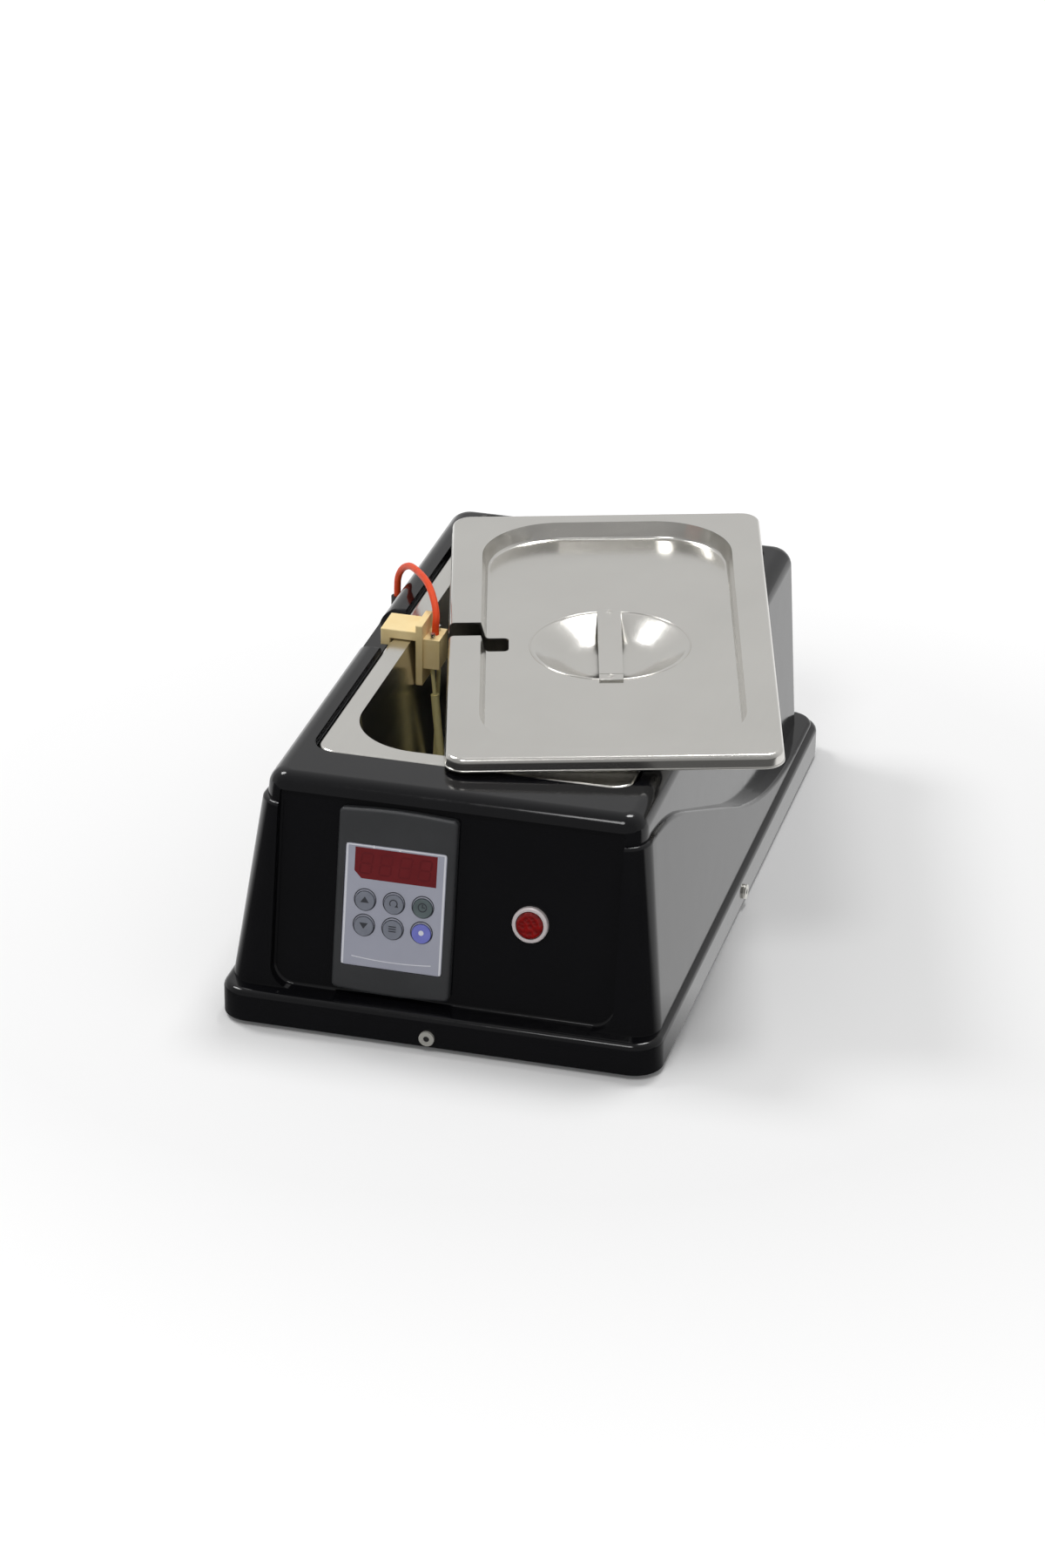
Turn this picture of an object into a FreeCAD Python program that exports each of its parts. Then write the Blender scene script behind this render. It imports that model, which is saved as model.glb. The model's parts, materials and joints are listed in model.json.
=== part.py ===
import FreeCAD, Part
import math
import os
from types import SimpleNamespace

import Sketcher
from FreeCAD import Placement, Rotation, Vector

# Bench-top heated well: black moulded housing, steel pan and lid, clip-on probe, panel controller.
# Frame: X to the right, Y to the back, Z up; origin on the bench, under the middle of the flange.
# Lengths in millimetres, angles in degrees.

DIMENSIONS = {
    # pan, a one-third gastronorm insert
    "pan_length": 325.0,
    "pan_width": 176.0,
    "pan_depth": 100.0,
    "pan_middle": 25.0,           # pan's centre behind the origin
    "pan_corner": 12.0,
    "pan_rim": 12.0,
    "pan_lip": 5.0,               # folded edge of the rim
    "pan_edge_round": 2.5,        # bend of that fold
    "pan_taper": 8.0,             # how far each wall leans in down to the floor
    "pan_opening_corner": 40.0,
    "pan_floor_round": 14.0,
    "pan_sheet": 1.0,
    "pan_sink": 1.0,              # pan rim below the housing's top
    "pan_gap": 2.0,               # pan rim to the recess wall
    # housing
    "foot_height": 3.0,           # bench to the flange's lower edge
    "body_height": 136.0,
    "side_rim": 14.0,
    "rear_rim": 9.5,
    "front_deck": 33.2,
    "body_draft": 3.0,
    "body_corner": 13.0,
    "body_round": 10.0,
    "front_slope": 11.2,          # lean of the front from the upright
    "pillar_proud": 3.0,          # pillars in front of the upper block
    "skirt_proud": 9.0,           # skirt outside the upper block, at the flange
    "rear_skirt": 6.0,
    "skirt_draft": 6.8,
    "skirt_corner": 15.0,
    "skirt_round": 2.2,
    "skirt_bury": 9.0,            # skirt and block go this far into the flange
    "ledge_front_height": 121.5,  # top of the skirt at its front ears
    "ledge_rear_height": 24.0,
    "ledge_slope": 24.5,
    "ledge_middle": -25.0,        # where the sloping ledge is at half its height
    "ledge_front_radius": 190.0,
    "ledge_rear_radius": 360.0,
    "flange_height": 18.0,
    "flange_step": 3.0,           # flange outside the skirt
    "front_step": 9.5,            # flange in front of the pillars
    "flange_corner": 16.0,
    "flange_round": 4.0,
    "flange_wall": 4.0,
    "wall": 3.0,
    "panel_recess": 6.0,         # front panel behind the pillars
    "panel_width": 190.0,
    "panel_top": 128.0,
    "panel_corner": 12.0,
    "panel_round": 1.5,
    "recess_depth": 8.0,
    "notch_middle": 20.0,
    "notch_length": 44.0,
    "notch_round": 6.0,
    # well
    "liner_sheet": 1.5,
    "liner_gap": 2.0,             # pan wall to liner
    "liner_floor_gap": 2.5,
    "liner_play": 1.0,            # liner to housing
    "mat_length": 250.0,
    "mat_width": 110.0,
    "mat_thickness": 1.6,
    "mat_tongue": 20.0,
    "insulation_thickness": 7.0,
    "insulation_play": 0.3,
    "window_margin": 3.0,         # gap round what passes through the insulation
    "cutout_radius": 8.0,
    "cutout_depth": 8.0,
    "cutout_x": 18.0,
    "cutout_height": 90.0,
    # base plate and fasteners
    "plate_sheet": 1.5,
    "plate_inset": 0.5,
    "tab_width": 24.0,
    "tab_height": 11.0,
    "screw_radius": 2.0,
    "screw_head_radius": 4.2,
    "screw_head_height": 1.6,
    "screw_length": 10.0,
    "screw_play": 0.1,
    "flange_screw_rise": 5.5,     # screw axis above the flange's lower edge
    "flange_screw_shift": -4.0,
    "foot_radius": 9.0,
    "foot_inset_x": 27.0,
    "foot_inset_y": 28.0,
    "foot_screw_radius": 1.5,
    "foot_screw_head": 3.0,
    "foot_screw_length": 9.0,
    "foot_head_sink": 0.8,
    "foot_head_height": 1.4,
    # lid
    "lid_x": 34.2,
    "lid_y": 29.4,
    "lid_turn": 15.2,
    "lid_rock": 0.085,            # lean of the axis it is turned about, which lifts its right side
    "lid_width": 181.0,
    "lid_clear": 0.4,
    "lid_sheet": 1.0,
    "lid_corner": 11.0,
    "lid_lip": 8.0,
    "lid_edge_round": 3.0,
    "lid_sink": 10.0,
    "lid_panel_width": 145.0,
    "lid_panel_length": 300.0,
    "lid_panel_corner": 45.0,
    "lid_panel_lean": 2.5,
    "bowl_radius": 43.5,
    "bowl_floor_radius": 22.0,
    "bowl_depth": 12.0,
    "bowl_round": 30.0,
    "bowl_edge_round": 3.0,
    "bowl_edge_reach": 8.0,       # flat border drawn round the bowl
    "lid_panel_round": 2.5,
    "bar_width": 13.5,
    "bar_sheet": 1.2,
    "bar_overlap": 4.0,
    "slot_width": 17.5,
    "slot_length": 33.5,
    "slot_middle": 2.3,
    "slot_round": 3.0,
    # controller
    "controller_x": -28.4,
    "controller_height": 73.4,
    "bezel_width": 65.4,
    "bezel_straight": 100.6,
    "bezel_arch": 2.0,
    "bezel_arch_radius": 300.0,
    "bezel_depth": 5.0,
    "bezel_round": 2.0,
    "bezel_corner": 3.0,
    "face_width": 56.0,
    "face_height": 68.0,
    "face_drop": 2.5,             # face's centre below the bezel's
    "face_sheet": 2.0,
    "face_sink": 0.5,
    "face_shoulder": 2.0,
    "face_corner": 2.0,
    "fit_gap": 0.2,
    "display_width": 45.5,
    "display_height": 17.2,
    "display_rise": 23.5,         # display's centre above the face's
    "display_chamfer": 4.0,
    "key_radius": 5.3,
    "key_gap": 0.3,
    "key_proud": 0.9,
    "key_travel": 0.8,
    "key_stem_radius": 3.0,
    "key_pitch_x": 16.0,
    "key_pitch_y": 14.2,
    "key_row_drop": 4.4,          # middle of the key rows below the face's centre
    "key_round": 0.5,
    "case_width": 56.0,
    "case_height": 90.0,
    "case_depth": 24.0,
    "case_wall": 2.0,
    "board_sheet": 1.6,
    "board_depth": 6.0,           # board behind the front panel
    "digits_gap": 0.5,            # digits to the display's window
    "terminal_depth": 8.0,
    "terminal_width": 40.0,
    "terminal_height": 14.0,
    "terminal_drop": 22.0,
    "clip_width": 12.0,
    "clip_depth": 9.0,
    "clip_sheet": 5.0,
    # red button
    "button_x": 46.0,
    "button_height": 71.6,
    "button_radius": 7.4,
    "button_gap": 0.3,
    "button_proud": 4.6,
    "button_round": 2.0,
    "button_travel": 2.0,
    "button_stem": 6.0,
    "ring_radius": 9.9,
    "ring_height": 3.0,
    "ring_round": 1.2,
    "barrel_radius": 8.6,
    "barrel_back": 10.0,          # solid end of the barrel, behind the button
    "nut_radius": 12.5,
    "nut_height": 3.0,
    # mains inlet
    "inlet_x": 55.0,
    "inlet_height": 62.0,
    "inlet_plate_width": 50.0,
    "inlet_plate_height": 28.0,
    "inlet_plate": 3.0,
    "inlet_width": 28.0,
    "inlet_tall": 20.0,
    "inlet_depth": 15.0,
    "inlet_wall": 1.8,
    "pin_width": 4.0,
    "pin_sheet": 2.0,
    "pin_length": 12.0,
    "pin_pitch": 7.0,
    "pin_offset": 2.0,
    "inlet_screw_pitch": 40.0,
    # terminal strip and earth stud
    "strip_x": 50.0,
    "strip_width": 56.0,
    "strip_length": 16.0,
    "strip_height": 12.0,
    "strip_stand_off": 12.0,      # strip in front of the insulation
    "strip_screw_pitch": 46.0,
    "stud_x": -55.0,
    "stud_radius": 2.0,
    "stud_length": 14.0,
    "stud_nut_radius": 4.0,
    "stud_nut_height": 3.2,
    # probe clip
    "probe_middle": 19.0,
    "hook_width": 22.0,
    "hook_thickness": 5.6,
    "hook_clear": 0.4,
    "hook_outer": 5.5,
    "hook_drop": 4.0,             # outer leg below the pan rim's top
    "hook_leg": 4.0,
    "hook_leg_length": 27.0,
    "hook_upstand": 4.0,
    "socket_width": 9.4,
    "socket_length": 17.2,
    "socket_height": 18.0,
    "socket_rise": 1.0,           # socket's top above the pan rim's top
    "rod_radius": 1.2,
    "rod_length": 66.0,
    "rod_lean": 5.0,
    "rod_pitch": 8.0,
    "sleeve_radius": 2.4,
    "sleeve_start": 18.0,         # bare rod above the sleeve
    "rod_bury": 4.0,
    "rod_play": 0.1,
    "pin_radius": 1.5,            # terminals on top of the socket
    "pin_rise": 3.0,
    # leads and cable gland
    "cable_radius": 2.0,
    "gland_straight": 6.0,        # lead's straight run out of the elbow
    "socket_straight": 5.0,       # and above the socket
    "lead_radius": 2.0,
    "heater_lead_radius": 1.2,
    "gland_radius": 5.5,          # collars on both sides of the wall
    "gland_collar": 3.0,
    "gland_neck": 4.0,
    "gland_play": 0.1,
    "gland_y": 102.0,
    "gland_drop": 28.0,           # gland's axis below the housing's top
    "elbow_radius": 3.6,
    "elbow_reach": 6.5,           # elbow's axis out from the wall
    "elbow_rise": 9.0,            # elbow's mouth above the gland's axis
}


class Size:
    # A size as an expression on the sheet, with its number for first guesses and checks.
    def __init__(self, text, number):
        self.text = text
        self.number = number

    def __add__(self, other):
        other = as_size(other)
        return Size(f"({self.text} + {other.text})", self.number + other.number)

    def __sub__(self, other):
        other = as_size(other)
        return Size(f"({self.text} - {other.text})", self.number - other.number)

    def __mul__(self, other):
        other = as_size(other)
        return Size(f"({self.text} * {other.text})", self.number * other.number)

    def __truediv__(self, other):
        other = as_size(other)
        return Size(f"({self.text} / {other.text})", self.number / other.number)

    def __neg__(self):
        return as_size(0.0) - self

    def __rsub__(self, other):
        return as_size(other) - self

    __radd__ = __add__
    __rmul__ = __mul__


def as_size(value):
    if isinstance(value, Size):
        return value
    return Size(f"({float(value)})", float(value))


def tan_of(angle):
    return Size(f"tan({angle.text})", math.tan(math.radians(angle.number)))


def cos_of(angle):
    return Size(f"cos({angle.text})", math.cos(math.radians(angle.number)))


def sin_of(angle):
    return Size(f"sin({angle.text})", math.sin(math.radians(angle.number)))


def atan_of(ratio):
    return Size(f"atan({ratio.text})", math.degrees(math.atan(ratio.number)))


doc = FreeCAD.newDocument("heated_well")
sheet = doc.addObject("Spreadsheet::Sheet", "sizes")
for row, (alias, number) in enumerate(DIMENSIONS.items(), start=1):
    sheet.set(f"A{row}", alias)
    sheet.set(f"B{row}", str(number))
    sheet.setAlias(f"B{row}", alias)
doc.recompute()
d = SimpleNamespace(**{alias: Size(f"sizes.{alias}", float(sheet.get(alias))) for alias in DIMENSIONS})


# Sizes that follow from the driving ones

flange_top = d.foot_height + d.flange_height
pan_front = d.pan_middle - d.pan_length / 2
pan_back = d.pan_middle + d.pan_length / 2
pan_top = d.body_height - d.pan_sink
pan_floor = pan_top - d.pan_depth
opening_width = d.pan_width - d.pan_rim * 2
opening_length = d.pan_length - d.pan_rim * 2
recess_width = d.pan_width + d.pan_gap * 2
recess_length = d.pan_length + d.pan_gap * 2
recess_floor = d.body_height - d.recess_depth
rear_face = pan_back + d.pan_gap + d.rear_rim
front_top = pan_front - d.pan_gap - d.front_deck
liner_width = opening_width + (d.pan_sheet + d.liner_gap + d.liner_sheet) * 2
liner_length = opening_length + (d.pan_sheet + d.liner_gap + d.liner_sheet) * 2
liner_corner = d.pan_opening_corner + d.pan_sheet + d.liner_gap + d.liner_sheet
liner_bottom = pan_floor - d.liner_floor_gap - d.liner_sheet
mat_bottom = liner_bottom - d.mat_thickness
insulation_width = liner_width + (d.insulation_play + d.insulation_thickness) * 2
insulation_length = liner_length + (d.insulation_play + d.insulation_thickness) * 2
insulation_bottom = mat_bottom - d.insulation_thickness
insulation_front = d.pan_middle - insulation_length / 2
plate_bottom = d.foot_height + d.plate_inset
plate_top = plate_bottom + d.plate_sheet
panel_thickness = d.wall * cos_of(d.front_slope)
gland_level = d.body_height - d.gland_drop


def block_front(height):
    return front_top - (d.body_height - height) * tan_of(d.front_slope)


def pillar_front(height):
    return block_front(height) - d.pillar_proud


def panel_at(height):
    return pillar_front(height) + d.panel_recess


def block_half(height):
    return recess_width / 2 + d.side_rim + (d.body_height - height) * tan_of(d.body_draft)


def skirt_half(height):
    return block_half(flange_top) + d.skirt_proud - (height - flange_top) * tan_of(d.skirt_draft)


def skirt_back(height):
    return rear_face + d.rear_skirt - (height - flange_top) * tan_of(d.skirt_draft)


flange_half = skirt_half(flange_top) + d.flange_step
flange_front = pillar_front(flange_top) - d.front_step
flange_back = skirt_back(flange_top) + d.flange_step


# Small tools for a parametric document

def bind(obj, prop, size):
    obj.setExpression(prop, as_size(size).text)


def place(obj, x, y, z):
    for axis, size in zip("xyz", (x, y, z)):
        bind(obj, f"Placement.Base.{axis}", size)


def turn(obj, axis, angle):
    obj.Placement = Placement(obj.Placement.Base, Rotation(Vector(*axis), as_size(angle).number))
    bind(obj, "Placement.Rotation.Angle", angle)


def panel_point(anchor, local):
    # the panel's own frame at an anchor (x, height): X to the right, Y up the slope, Z out of the panel
    x, height = anchor
    along, up, out = (as_size(c) for c in local)
    return (x + along,
            panel_at(height) + up * sin_of(d.front_slope) - out * cos_of(d.front_slope),
            height + up * cos_of(d.front_slope) + out * sin_of(d.front_slope))


def on_panel(obj, anchor, local=(0, 0, 0)):
    turn(obj, (1, 0, 0), 90 - d.front_slope)
    place(obj, *panel_point(anchor, local))
    return obj


def box(name, size, middle):
    # middle gives the centre in X and Y and the lowest Z
    obj = doc.addObject("Part::Box", name)
    for prop, length in zip(("Length", "Width", "Height"), size):
        bind(obj, prop, length)
    place(obj, middle[0] - as_size(size[0]) / 2, middle[1] - as_size(size[1]) / 2, middle[2])
    return obj


def cylinder(name, radius, length, start, axis=(0, 0, 1)):
    obj = doc.addObject("Part::Cylinder", name)
    bind(obj, "Radius", radius)
    bind(obj, "Height", length)
    obj.Placement = Placement(Vector(), Rotation(Vector(0, 0, 1), Vector(*axis)))
    place(obj, *start)
    return obj


def prism(name, radius, height, start):
    obj = doc.addObject("Part::Prism", name)
    obj.Polygon = 6
    bind(obj, "Circumradius", radius)
    bind(obj, "Height", height)
    place(obj, *start)
    return obj


def fuse(name, *shapes):
    obj = doc.addObject("Part::MultiFuse", name)
    obj.Shapes = list(shapes)
    return obj


def cut(name, base, *tools):
    for index, tool in enumerate(tools):
        obj = doc.addObject("Part::Cut", name if index == len(tools) - 1 else f"{name}_step{index}")
        obj.Base = base
        obj.Tool = tool
        base = obj
    return base


def group(name, shapes):
    obj = doc.addObject("Part::Compound", name)
    obj.Links = list(shapes)
    return obj


def new_body(name):
    return doc.addObject("PartDesign::Body", name)


def new_sketch(body, name, role, offset=0.0):
    # in XY, XZ and YZ sketches the offset goes along +Z, -Y and +X
    sketch = body.newObject("Sketcher::SketchObject", name)
    plane = next(item for item in body.Origin.OriginFeatures if item.Role == role)
    sketch.AttachmentSupport = (plane, [""])
    sketch.MapMode = "FlatFace"
    bind(sketch, "AttachmentOffset.Base.z", offset)
    return sketch


def constrain(sketch, kind, refs, size):
    index = sketch.addConstraint(Sketcher.Constraint(kind, *refs, as_size(size).number))
    sketch.renameConstraint(index, f"c{index}")
    bind(sketch, f"Constraints.c{index}", size)


def outline(sketch, corners):
    # a closed shape of straight sides; a corner is (x, y) or, rounded, (x, y, radius)
    points = [Vector(as_size(c[0]).number, as_size(c[1]).number, 0) for c in corners]
    count = len(points)
    ends = []
    for i, corner in enumerate(corners):
        before = (points[i - 1] - points[i]).normalize()
        after = (points[(i + 1) % count] - points[i]).normalize()
        trim = 0.0
        if len(corner) == 3:
            trim = as_size(corner[2]).number / math.tan(before.getAngle(after) / 2)
        ends.append((points[i] + before * trim, points[i] + after * trim))
    first = sketch.GeometryCount
    for i in range(count):
        sketch.addGeometry(Part.LineSegment(ends[i][1], ends[(i + 1) % count][0]), False)
    for i, corner in enumerate(corners):
        line_in = first + (i - 1) % count
        line_out = first + i
        if len(corner) == 2:
            sketch.addConstraint(Sketcher.Constraint("Coincident", line_in, 2, line_out, 1))
            constrain(sketch, "DistanceX", (line_out, 1), corner[0])
            constrain(sketch, "DistanceY", (line_out, 1), corner[1])
            continue
        start, end = ends[i]
        middle = start + (end - start) / 2
        inward = (middle - points[i]).normalize()
        radius = as_size(corner[2]).number
        reach = radius / math.sin((start - points[i]).getAngle(middle - points[i]))
        centre = points[i] + inward * reach
        left_turn = (points[i] - start).cross(end - points[i]).z > 0
        ring = Part.Circle(centre, Vector(0, 0, 1), radius)
        from_point, to_point = (start, end) if left_turn else (end, start)
        angles = [math.atan2(p.y - centre.y, p.x - centre.x) for p in (from_point, to_point)]
        arc = sketch.addGeometry(Part.ArcOfCircle(ring, *angles), False)
        corner_point = sketch.addGeometry(Part.Point(points[i]), True)
        arc_in, arc_out = (1, 2) if left_turn else (2, 1)
        sketch.addConstraint([
            Sketcher.Constraint("Tangent", line_in, 2, arc, arc_in),
            Sketcher.Constraint("Tangent", arc, arc_out, line_out, 1),
            Sketcher.Constraint("PointOnObject", corner_point, 1, line_in),
            Sketcher.Constraint("PointOnObject", corner_point, 1, line_out),
        ])
        constrain(sketch, "DistanceX", (corner_point, 1), corner[0])
        constrain(sketch, "DistanceY", (corner_point, 1), corner[1])
        constrain(sketch, "Radius", (arc,), corner[2])


def rectangle(sketch, width, length, middle=(0.0, 0.0), corner=None):
    half_x = as_size(width) / 2
    half_y = as_size(length) / 2
    x, y = as_size(middle[0]), as_size(middle[1])
    ends = [(x - half_x, y - half_y), (x + half_x, y - half_y), (x + half_x, y + half_y), (x - half_x, y + half_y)]
    outline(sketch, [end if corner is None else end + (corner,) for end in ends])


def circle(sketch, radius, middle=(0.0, 0.0)):
    x, y = as_size(middle[0]), as_size(middle[1])
    ring = Part.Circle(Vector(x.number, y.number, 0), Vector(0, 0, 1), as_size(radius).number)
    index = sketch.addGeometry(ring, False)
    constrain(sketch, "DistanceX", (index, 3), x)
    constrain(sketch, "DistanceY", (index, 3), y)
    constrain(sketch, "Radius", (index,), radius)


def pad(body, sketch, length, symmetric=False, lean=None):
    # with a lean, the pad goes down and its walls come in at that angle
    feature = body.newObject("PartDesign::Pad", f"{sketch.Name}_pad")
    feature.Profile = sketch
    bind(feature, "Length", length)
    if symmetric:
        feature.SideType = "Symmetric"
    if lean is not None:
        feature.Reversed = True
        bind(feature, "TaperAngle", lean * -1)
    doc.recompute()
    return feature


def pocket(body, sketch, length, symmetric=False, upward=False):
    # cuts against the sketch's normal, or along it when upward
    before = body.Shape.Volume
    feature = body.newObject("PartDesign::Pocket", f"{sketch.Name}_pocket")
    feature.Profile = sketch
    bind(feature, "Length", length)
    feature.Reversed = upward
    if symmetric:
        feature.SideType = "Symmetric"
    doc.recompute()
    if not body.Shape.Volume < before:
        raise RuntimeError(f"{feature.Name} cuts nothing")
    return feature


def round_edges(body, radius, chosen):
    # rounds the edges of the body so far for which chosen(edge) holds
    feature = body.Tip
    names = [f"Edge{i}" for i, edge in enumerate(feature.Shape.Edges, start=1) if chosen(edge)]
    if not names:
        raise RuntimeError(f"no edge to round on {body.Name}")
    fillet = body.newObject("PartDesign::Fillet", f"{feature.Name}_round")
    fillet.Base = (feature, names)
    bind(fillet, "Radius", radius)
    doc.recompute()
    return fillet


def near(value, size):
    return abs(value - as_size(size).number) < 0.01


def level(edge, height):
    # whether an edge lies flat at a height
    box_of = edge.BoundBox
    return near(box_of.ZMin, height) and near(box_of.ZMax, height)


def middle_of(edge):
    return edge.valueAt((edge.FirstParameter + edge.LastParameter) / 2)


def tube(name, points, radius):
    # a round lead along straight runs, each bend as large as its two runs allow
    share = 0.45
    points = [Vector(*(as_size(c).number for c in point)) for point in points]
    edges = []
    radii = []
    here = points[0]
    for before, at, after in zip(points, points[1:], points[2:]):
        back = (before - at).normalize()
        ahead = (after - at).normalize()
        trim = share * min(before.distanceToPoint(at), at.distanceToPoint(after))
        half = back.getAngle(ahead) / 2
        bend = trim * math.tan(half)
        radii.append(round(bend, 1))
        start, end = at + back * trim, at + ahead * trim
        crown = at + (back + ahead).normalize() * (bend / math.sin(half) - bend)
        edges.append(Part.LineSegment(here, start).toShape())
        edges.append(Part.Arc(start, crown, end).toShape())
        here = end
    edges.append(Part.LineSegment(here, points[-1]).toShape())
    path = Part.Wire(edges)
    section = Part.Wire(Part.makeCircle(radius.number, points[0], points[1] - points[0]))
    obj = doc.addObject("Part::Feature", name)
    obj.Shape = path.makePipeShell([section], True, False)
    expected = math.pi * radius.number ** 2 * path.Length
    if abs(obj.Shape.Volume - expected) > 0.01 * expected:
        raise RuntimeError(f"{name} has volume {obj.Shape.Volume:.0f}, not {expected:.0f}")
    print(name, "length", round(path.Length, 1), "bend radii", radii)
    return obj


parts = {}


def part(node, obj):
    obj.Label = node
    parts[node] = obj
    return obj


# Housing

def leaning_block(name, profile, half_at, low, high):
    # a side profile in Y and Z, drawn across X, whose two sides lean in as half_at(height) says
    body = new_body(name)
    side = new_sketch(body, f"{name}_side", "YZ_Plane")
    outline(side, profile)
    pad(body, side, half_at(low) * 3, symmetric=True)
    ends = new_sketch(body, f"{name}_ends", "XZ_Plane")
    under, over = low - d.wall, high + d.wall
    far = half_at(low) * 2
    for way in (-1, 1):
        outline(ends, [(half_at(under) * way, under), (half_at(over) * way, over), (far * way, over),
                       (far * way, under)])
    pocket(body, ends, d.pan_length * 3, symmetric=True)
    return body


def upright(edge):
    span = edge.BoundBox
    return span.ZLength > span.YLength and span.ZLength > span.XLength


buried = flange_top - d.skirt_bury


def skirt():
    # its top sweeps down in an S from the front ears to the back
    ear = d.ledge_front_height
    rear = d.ledge_rear_height
    run = (ear - rear) / 2 / tan_of(d.ledge_slope)
    body = leaning_block("skirt", [
        (pillar_front(buried), buried),
        (skirt_back(buried), buried),
        (skirt_back(rear), rear),
        (d.ledge_middle + run, rear, d.ledge_rear_radius),
        (d.ledge_middle - run, ear, d.ledge_front_radius),
        (pillar_front(ear), ear),
    ], skirt_half, buried, ear)
    round_edges(body, d.skirt_corner, upright)

    def on_ledge_rim(edge):
        span = edge.BoundBox
        inside = span.XLength > d.pan_width.number and pillar_front(ear).number + 1 < span.YMin < rear_face.number
        return span.ZMin > rear.number - 1 and not inside
    round_edges(body, d.skirt_round, on_ledge_rim)
    return body


def upper_block():
    top = d.body_height
    body = leaning_block("upper_block", [
        (block_front(buried), buried),
        (rear_face, buried),
        (rear_face, top),
        (block_front(top), top),
    ], block_half, buried, top)
    round_edges(body, d.body_corner, upright)
    round_edges(body, d.body_round, lambda edge: level(edge, top))
    return body


def flange():
    body = new_body("flange")
    rim = new_sketch(body, "flange_rim", "XY_Plane", d.foot_height)
    middle_y = (flange_front + flange_back) / 2
    rectangle(rim, flange_half * 2, flange_back - flange_front, (0, middle_y), d.flange_corner)
    pad(body, rim, d.flange_height)
    round_edges(body, d.flange_round, lambda edge: level(edge, flange_top))
    return body


def panel_recess():
    # space in front of the sloping panel, between the pillars and under the overhanging front edge
    body = new_body("panel_recess")
    side = new_sketch(body, "panel_recess_side", "YZ_Plane")
    outline(side, [
        (panel_at(flange_top), flange_top),
        (panel_at(d.panel_top), d.panel_top),
        (flange_front * 1.5, d.panel_top),
        (flange_front * 1.5, flange_top),
    ])
    pad(body, side, d.panel_width, symmetric=True)
    round_edges(body, d.panel_corner, lambda edge: level(edge, flange_top) and edge.BoundBox.XLength < 1)

    def on_panel_border(edge):
        at = middle_of(edge)
        return near(at.y, panel_at(as_size(at.z))) and not level(edge, d.panel_top)
    round_edges(body, d.panel_round, on_panel_border)
    return body


def prism_space(name, width, length, middle_y, corner, low, high):
    # an upright space with rounded corners, centred on X
    body = new_body(name)
    sketch = new_sketch(body, f"{name}_plan", "XY_Plane", low)
    rectangle(sketch, width, length, (0, middle_y), corner)
    pad(body, sketch, high - low)
    return body


def finger_notches():
    body = new_body("finger_notches")
    sketch = new_sketch(body, "finger_notch_side", "YZ_Plane")
    left = d.notch_middle - d.notch_length / 2
    right = d.notch_middle + d.notch_length / 2
    lean = d.notch_round / 3
    crest = d.body_height + d.pan_gap / 10
    outline(sketch, [
        (left - d.notch_length, crest),
        (left - lean, crest, d.notch_round),
        (left, recess_floor, d.notch_round / 2),
        (right, recess_floor, d.notch_round / 2),
        (right + lean, crest, d.notch_round),
        (right + d.notch_length, crest),
        (right + d.notch_length, crest * 1.2),
        (left - d.notch_length, crest * 1.2),
    ])
    pad(body, sketch, flange_half * 3, symmetric=True)
    return body


def cavity():
    ceiling = recess_floor - d.wall
    low = d.foot_height - d.wall
    body = leaning_block("cavity", [
        (panel_at(low) + d.wall, low),
        (rear_face - d.wall, low),
        (rear_face - d.wall, ceiling),
        (panel_at(ceiling) + d.wall, ceiling),
    ], lambda height: block_half(height) - d.wall, low, ceiling)
    round_edges(body, d.body_corner - d.wall, upright)
    return body


screw_height = d.foot_height + d.flange_screw_rise
# flange screws: start of the shank on the flange's face, and the way the screw goes in
flange_screw_places = [
    ((d.flange_screw_shift, flange_front, screw_height), (0, 1, 0)),
    ((d.flange_screw_shift, flange_back, screw_height), (0, -1, 0)),
    ((-flange_half, 0.0, screw_height), (1, 0, 0)),
    ((flange_half, 0.0, screw_height), (-1, 0, 0)),
]


def screw_tools(name, radius, length):
    return group(name, [cylinder(f"{name}_{i}", radius, length, start, axis)
                        for i, (start, axis) in enumerate(flange_screw_places)])


def moved(start, axis, distance):
    # a place moved along an axis that is one of the frame's
    return tuple(as_size(c) + as_size(distance) * a for c, a in zip(start, axis))


def round_screws(name, places, radius, length, head_radius, head_height):
    # screws whose heads sit on the surface at each start, with a socket in each head
    screws = []
    for i, (start, axis) in enumerate(places):
        shank = cylinder(f"{name}_shank{i}", radius, length, start, axis)
        head = cylinder(f"{name}_head{i}", head_radius, head_height, moved(start, axis, -head_height), axis)
        socket = cylinder(f"{name}_socket{i}", head_radius * 0.4, head_height / 2, moved(start, axis, -head_height),
                          axis)
        screws.append(cut(f"{name}_{i}", fuse(f"{name}_blank{i}", shank, head), socket))
    return group(name, screws)


controller_anchor = (d.controller_x, d.controller_height)
button_anchor = (d.button_x, d.button_height)


def panel_box(name, anchor, size, middle):
    # middle gives the centre along and up the panel, and the lowest height out of it
    obj = doc.addObject("Part::Box", name)
    for prop, length in zip(("Length", "Width", "Height"), size):
        bind(obj, prop, length)
    corner = (as_size(middle[0]) - as_size(size[0]) / 2, as_size(middle[1]) - as_size(size[1]) / 2, middle[2])
    return on_panel(obj, anchor, corner)


def panel_cylinder(name, anchor, radius, length, start):
    obj = doc.addObject("Part::Cylinder", name)
    bind(obj, "Radius", radius)
    bind(obj, "Height", length)
    return on_panel(obj, anchor, start)


def wall_point(out):
    # a point on the gland's axis, square to the leaning left wall; out counts from the wall's face
    return (-block_half(gland_level) - out * cos_of(d.body_draft), d.gland_y,
            gland_level + out * sin_of(d.body_draft))


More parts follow.
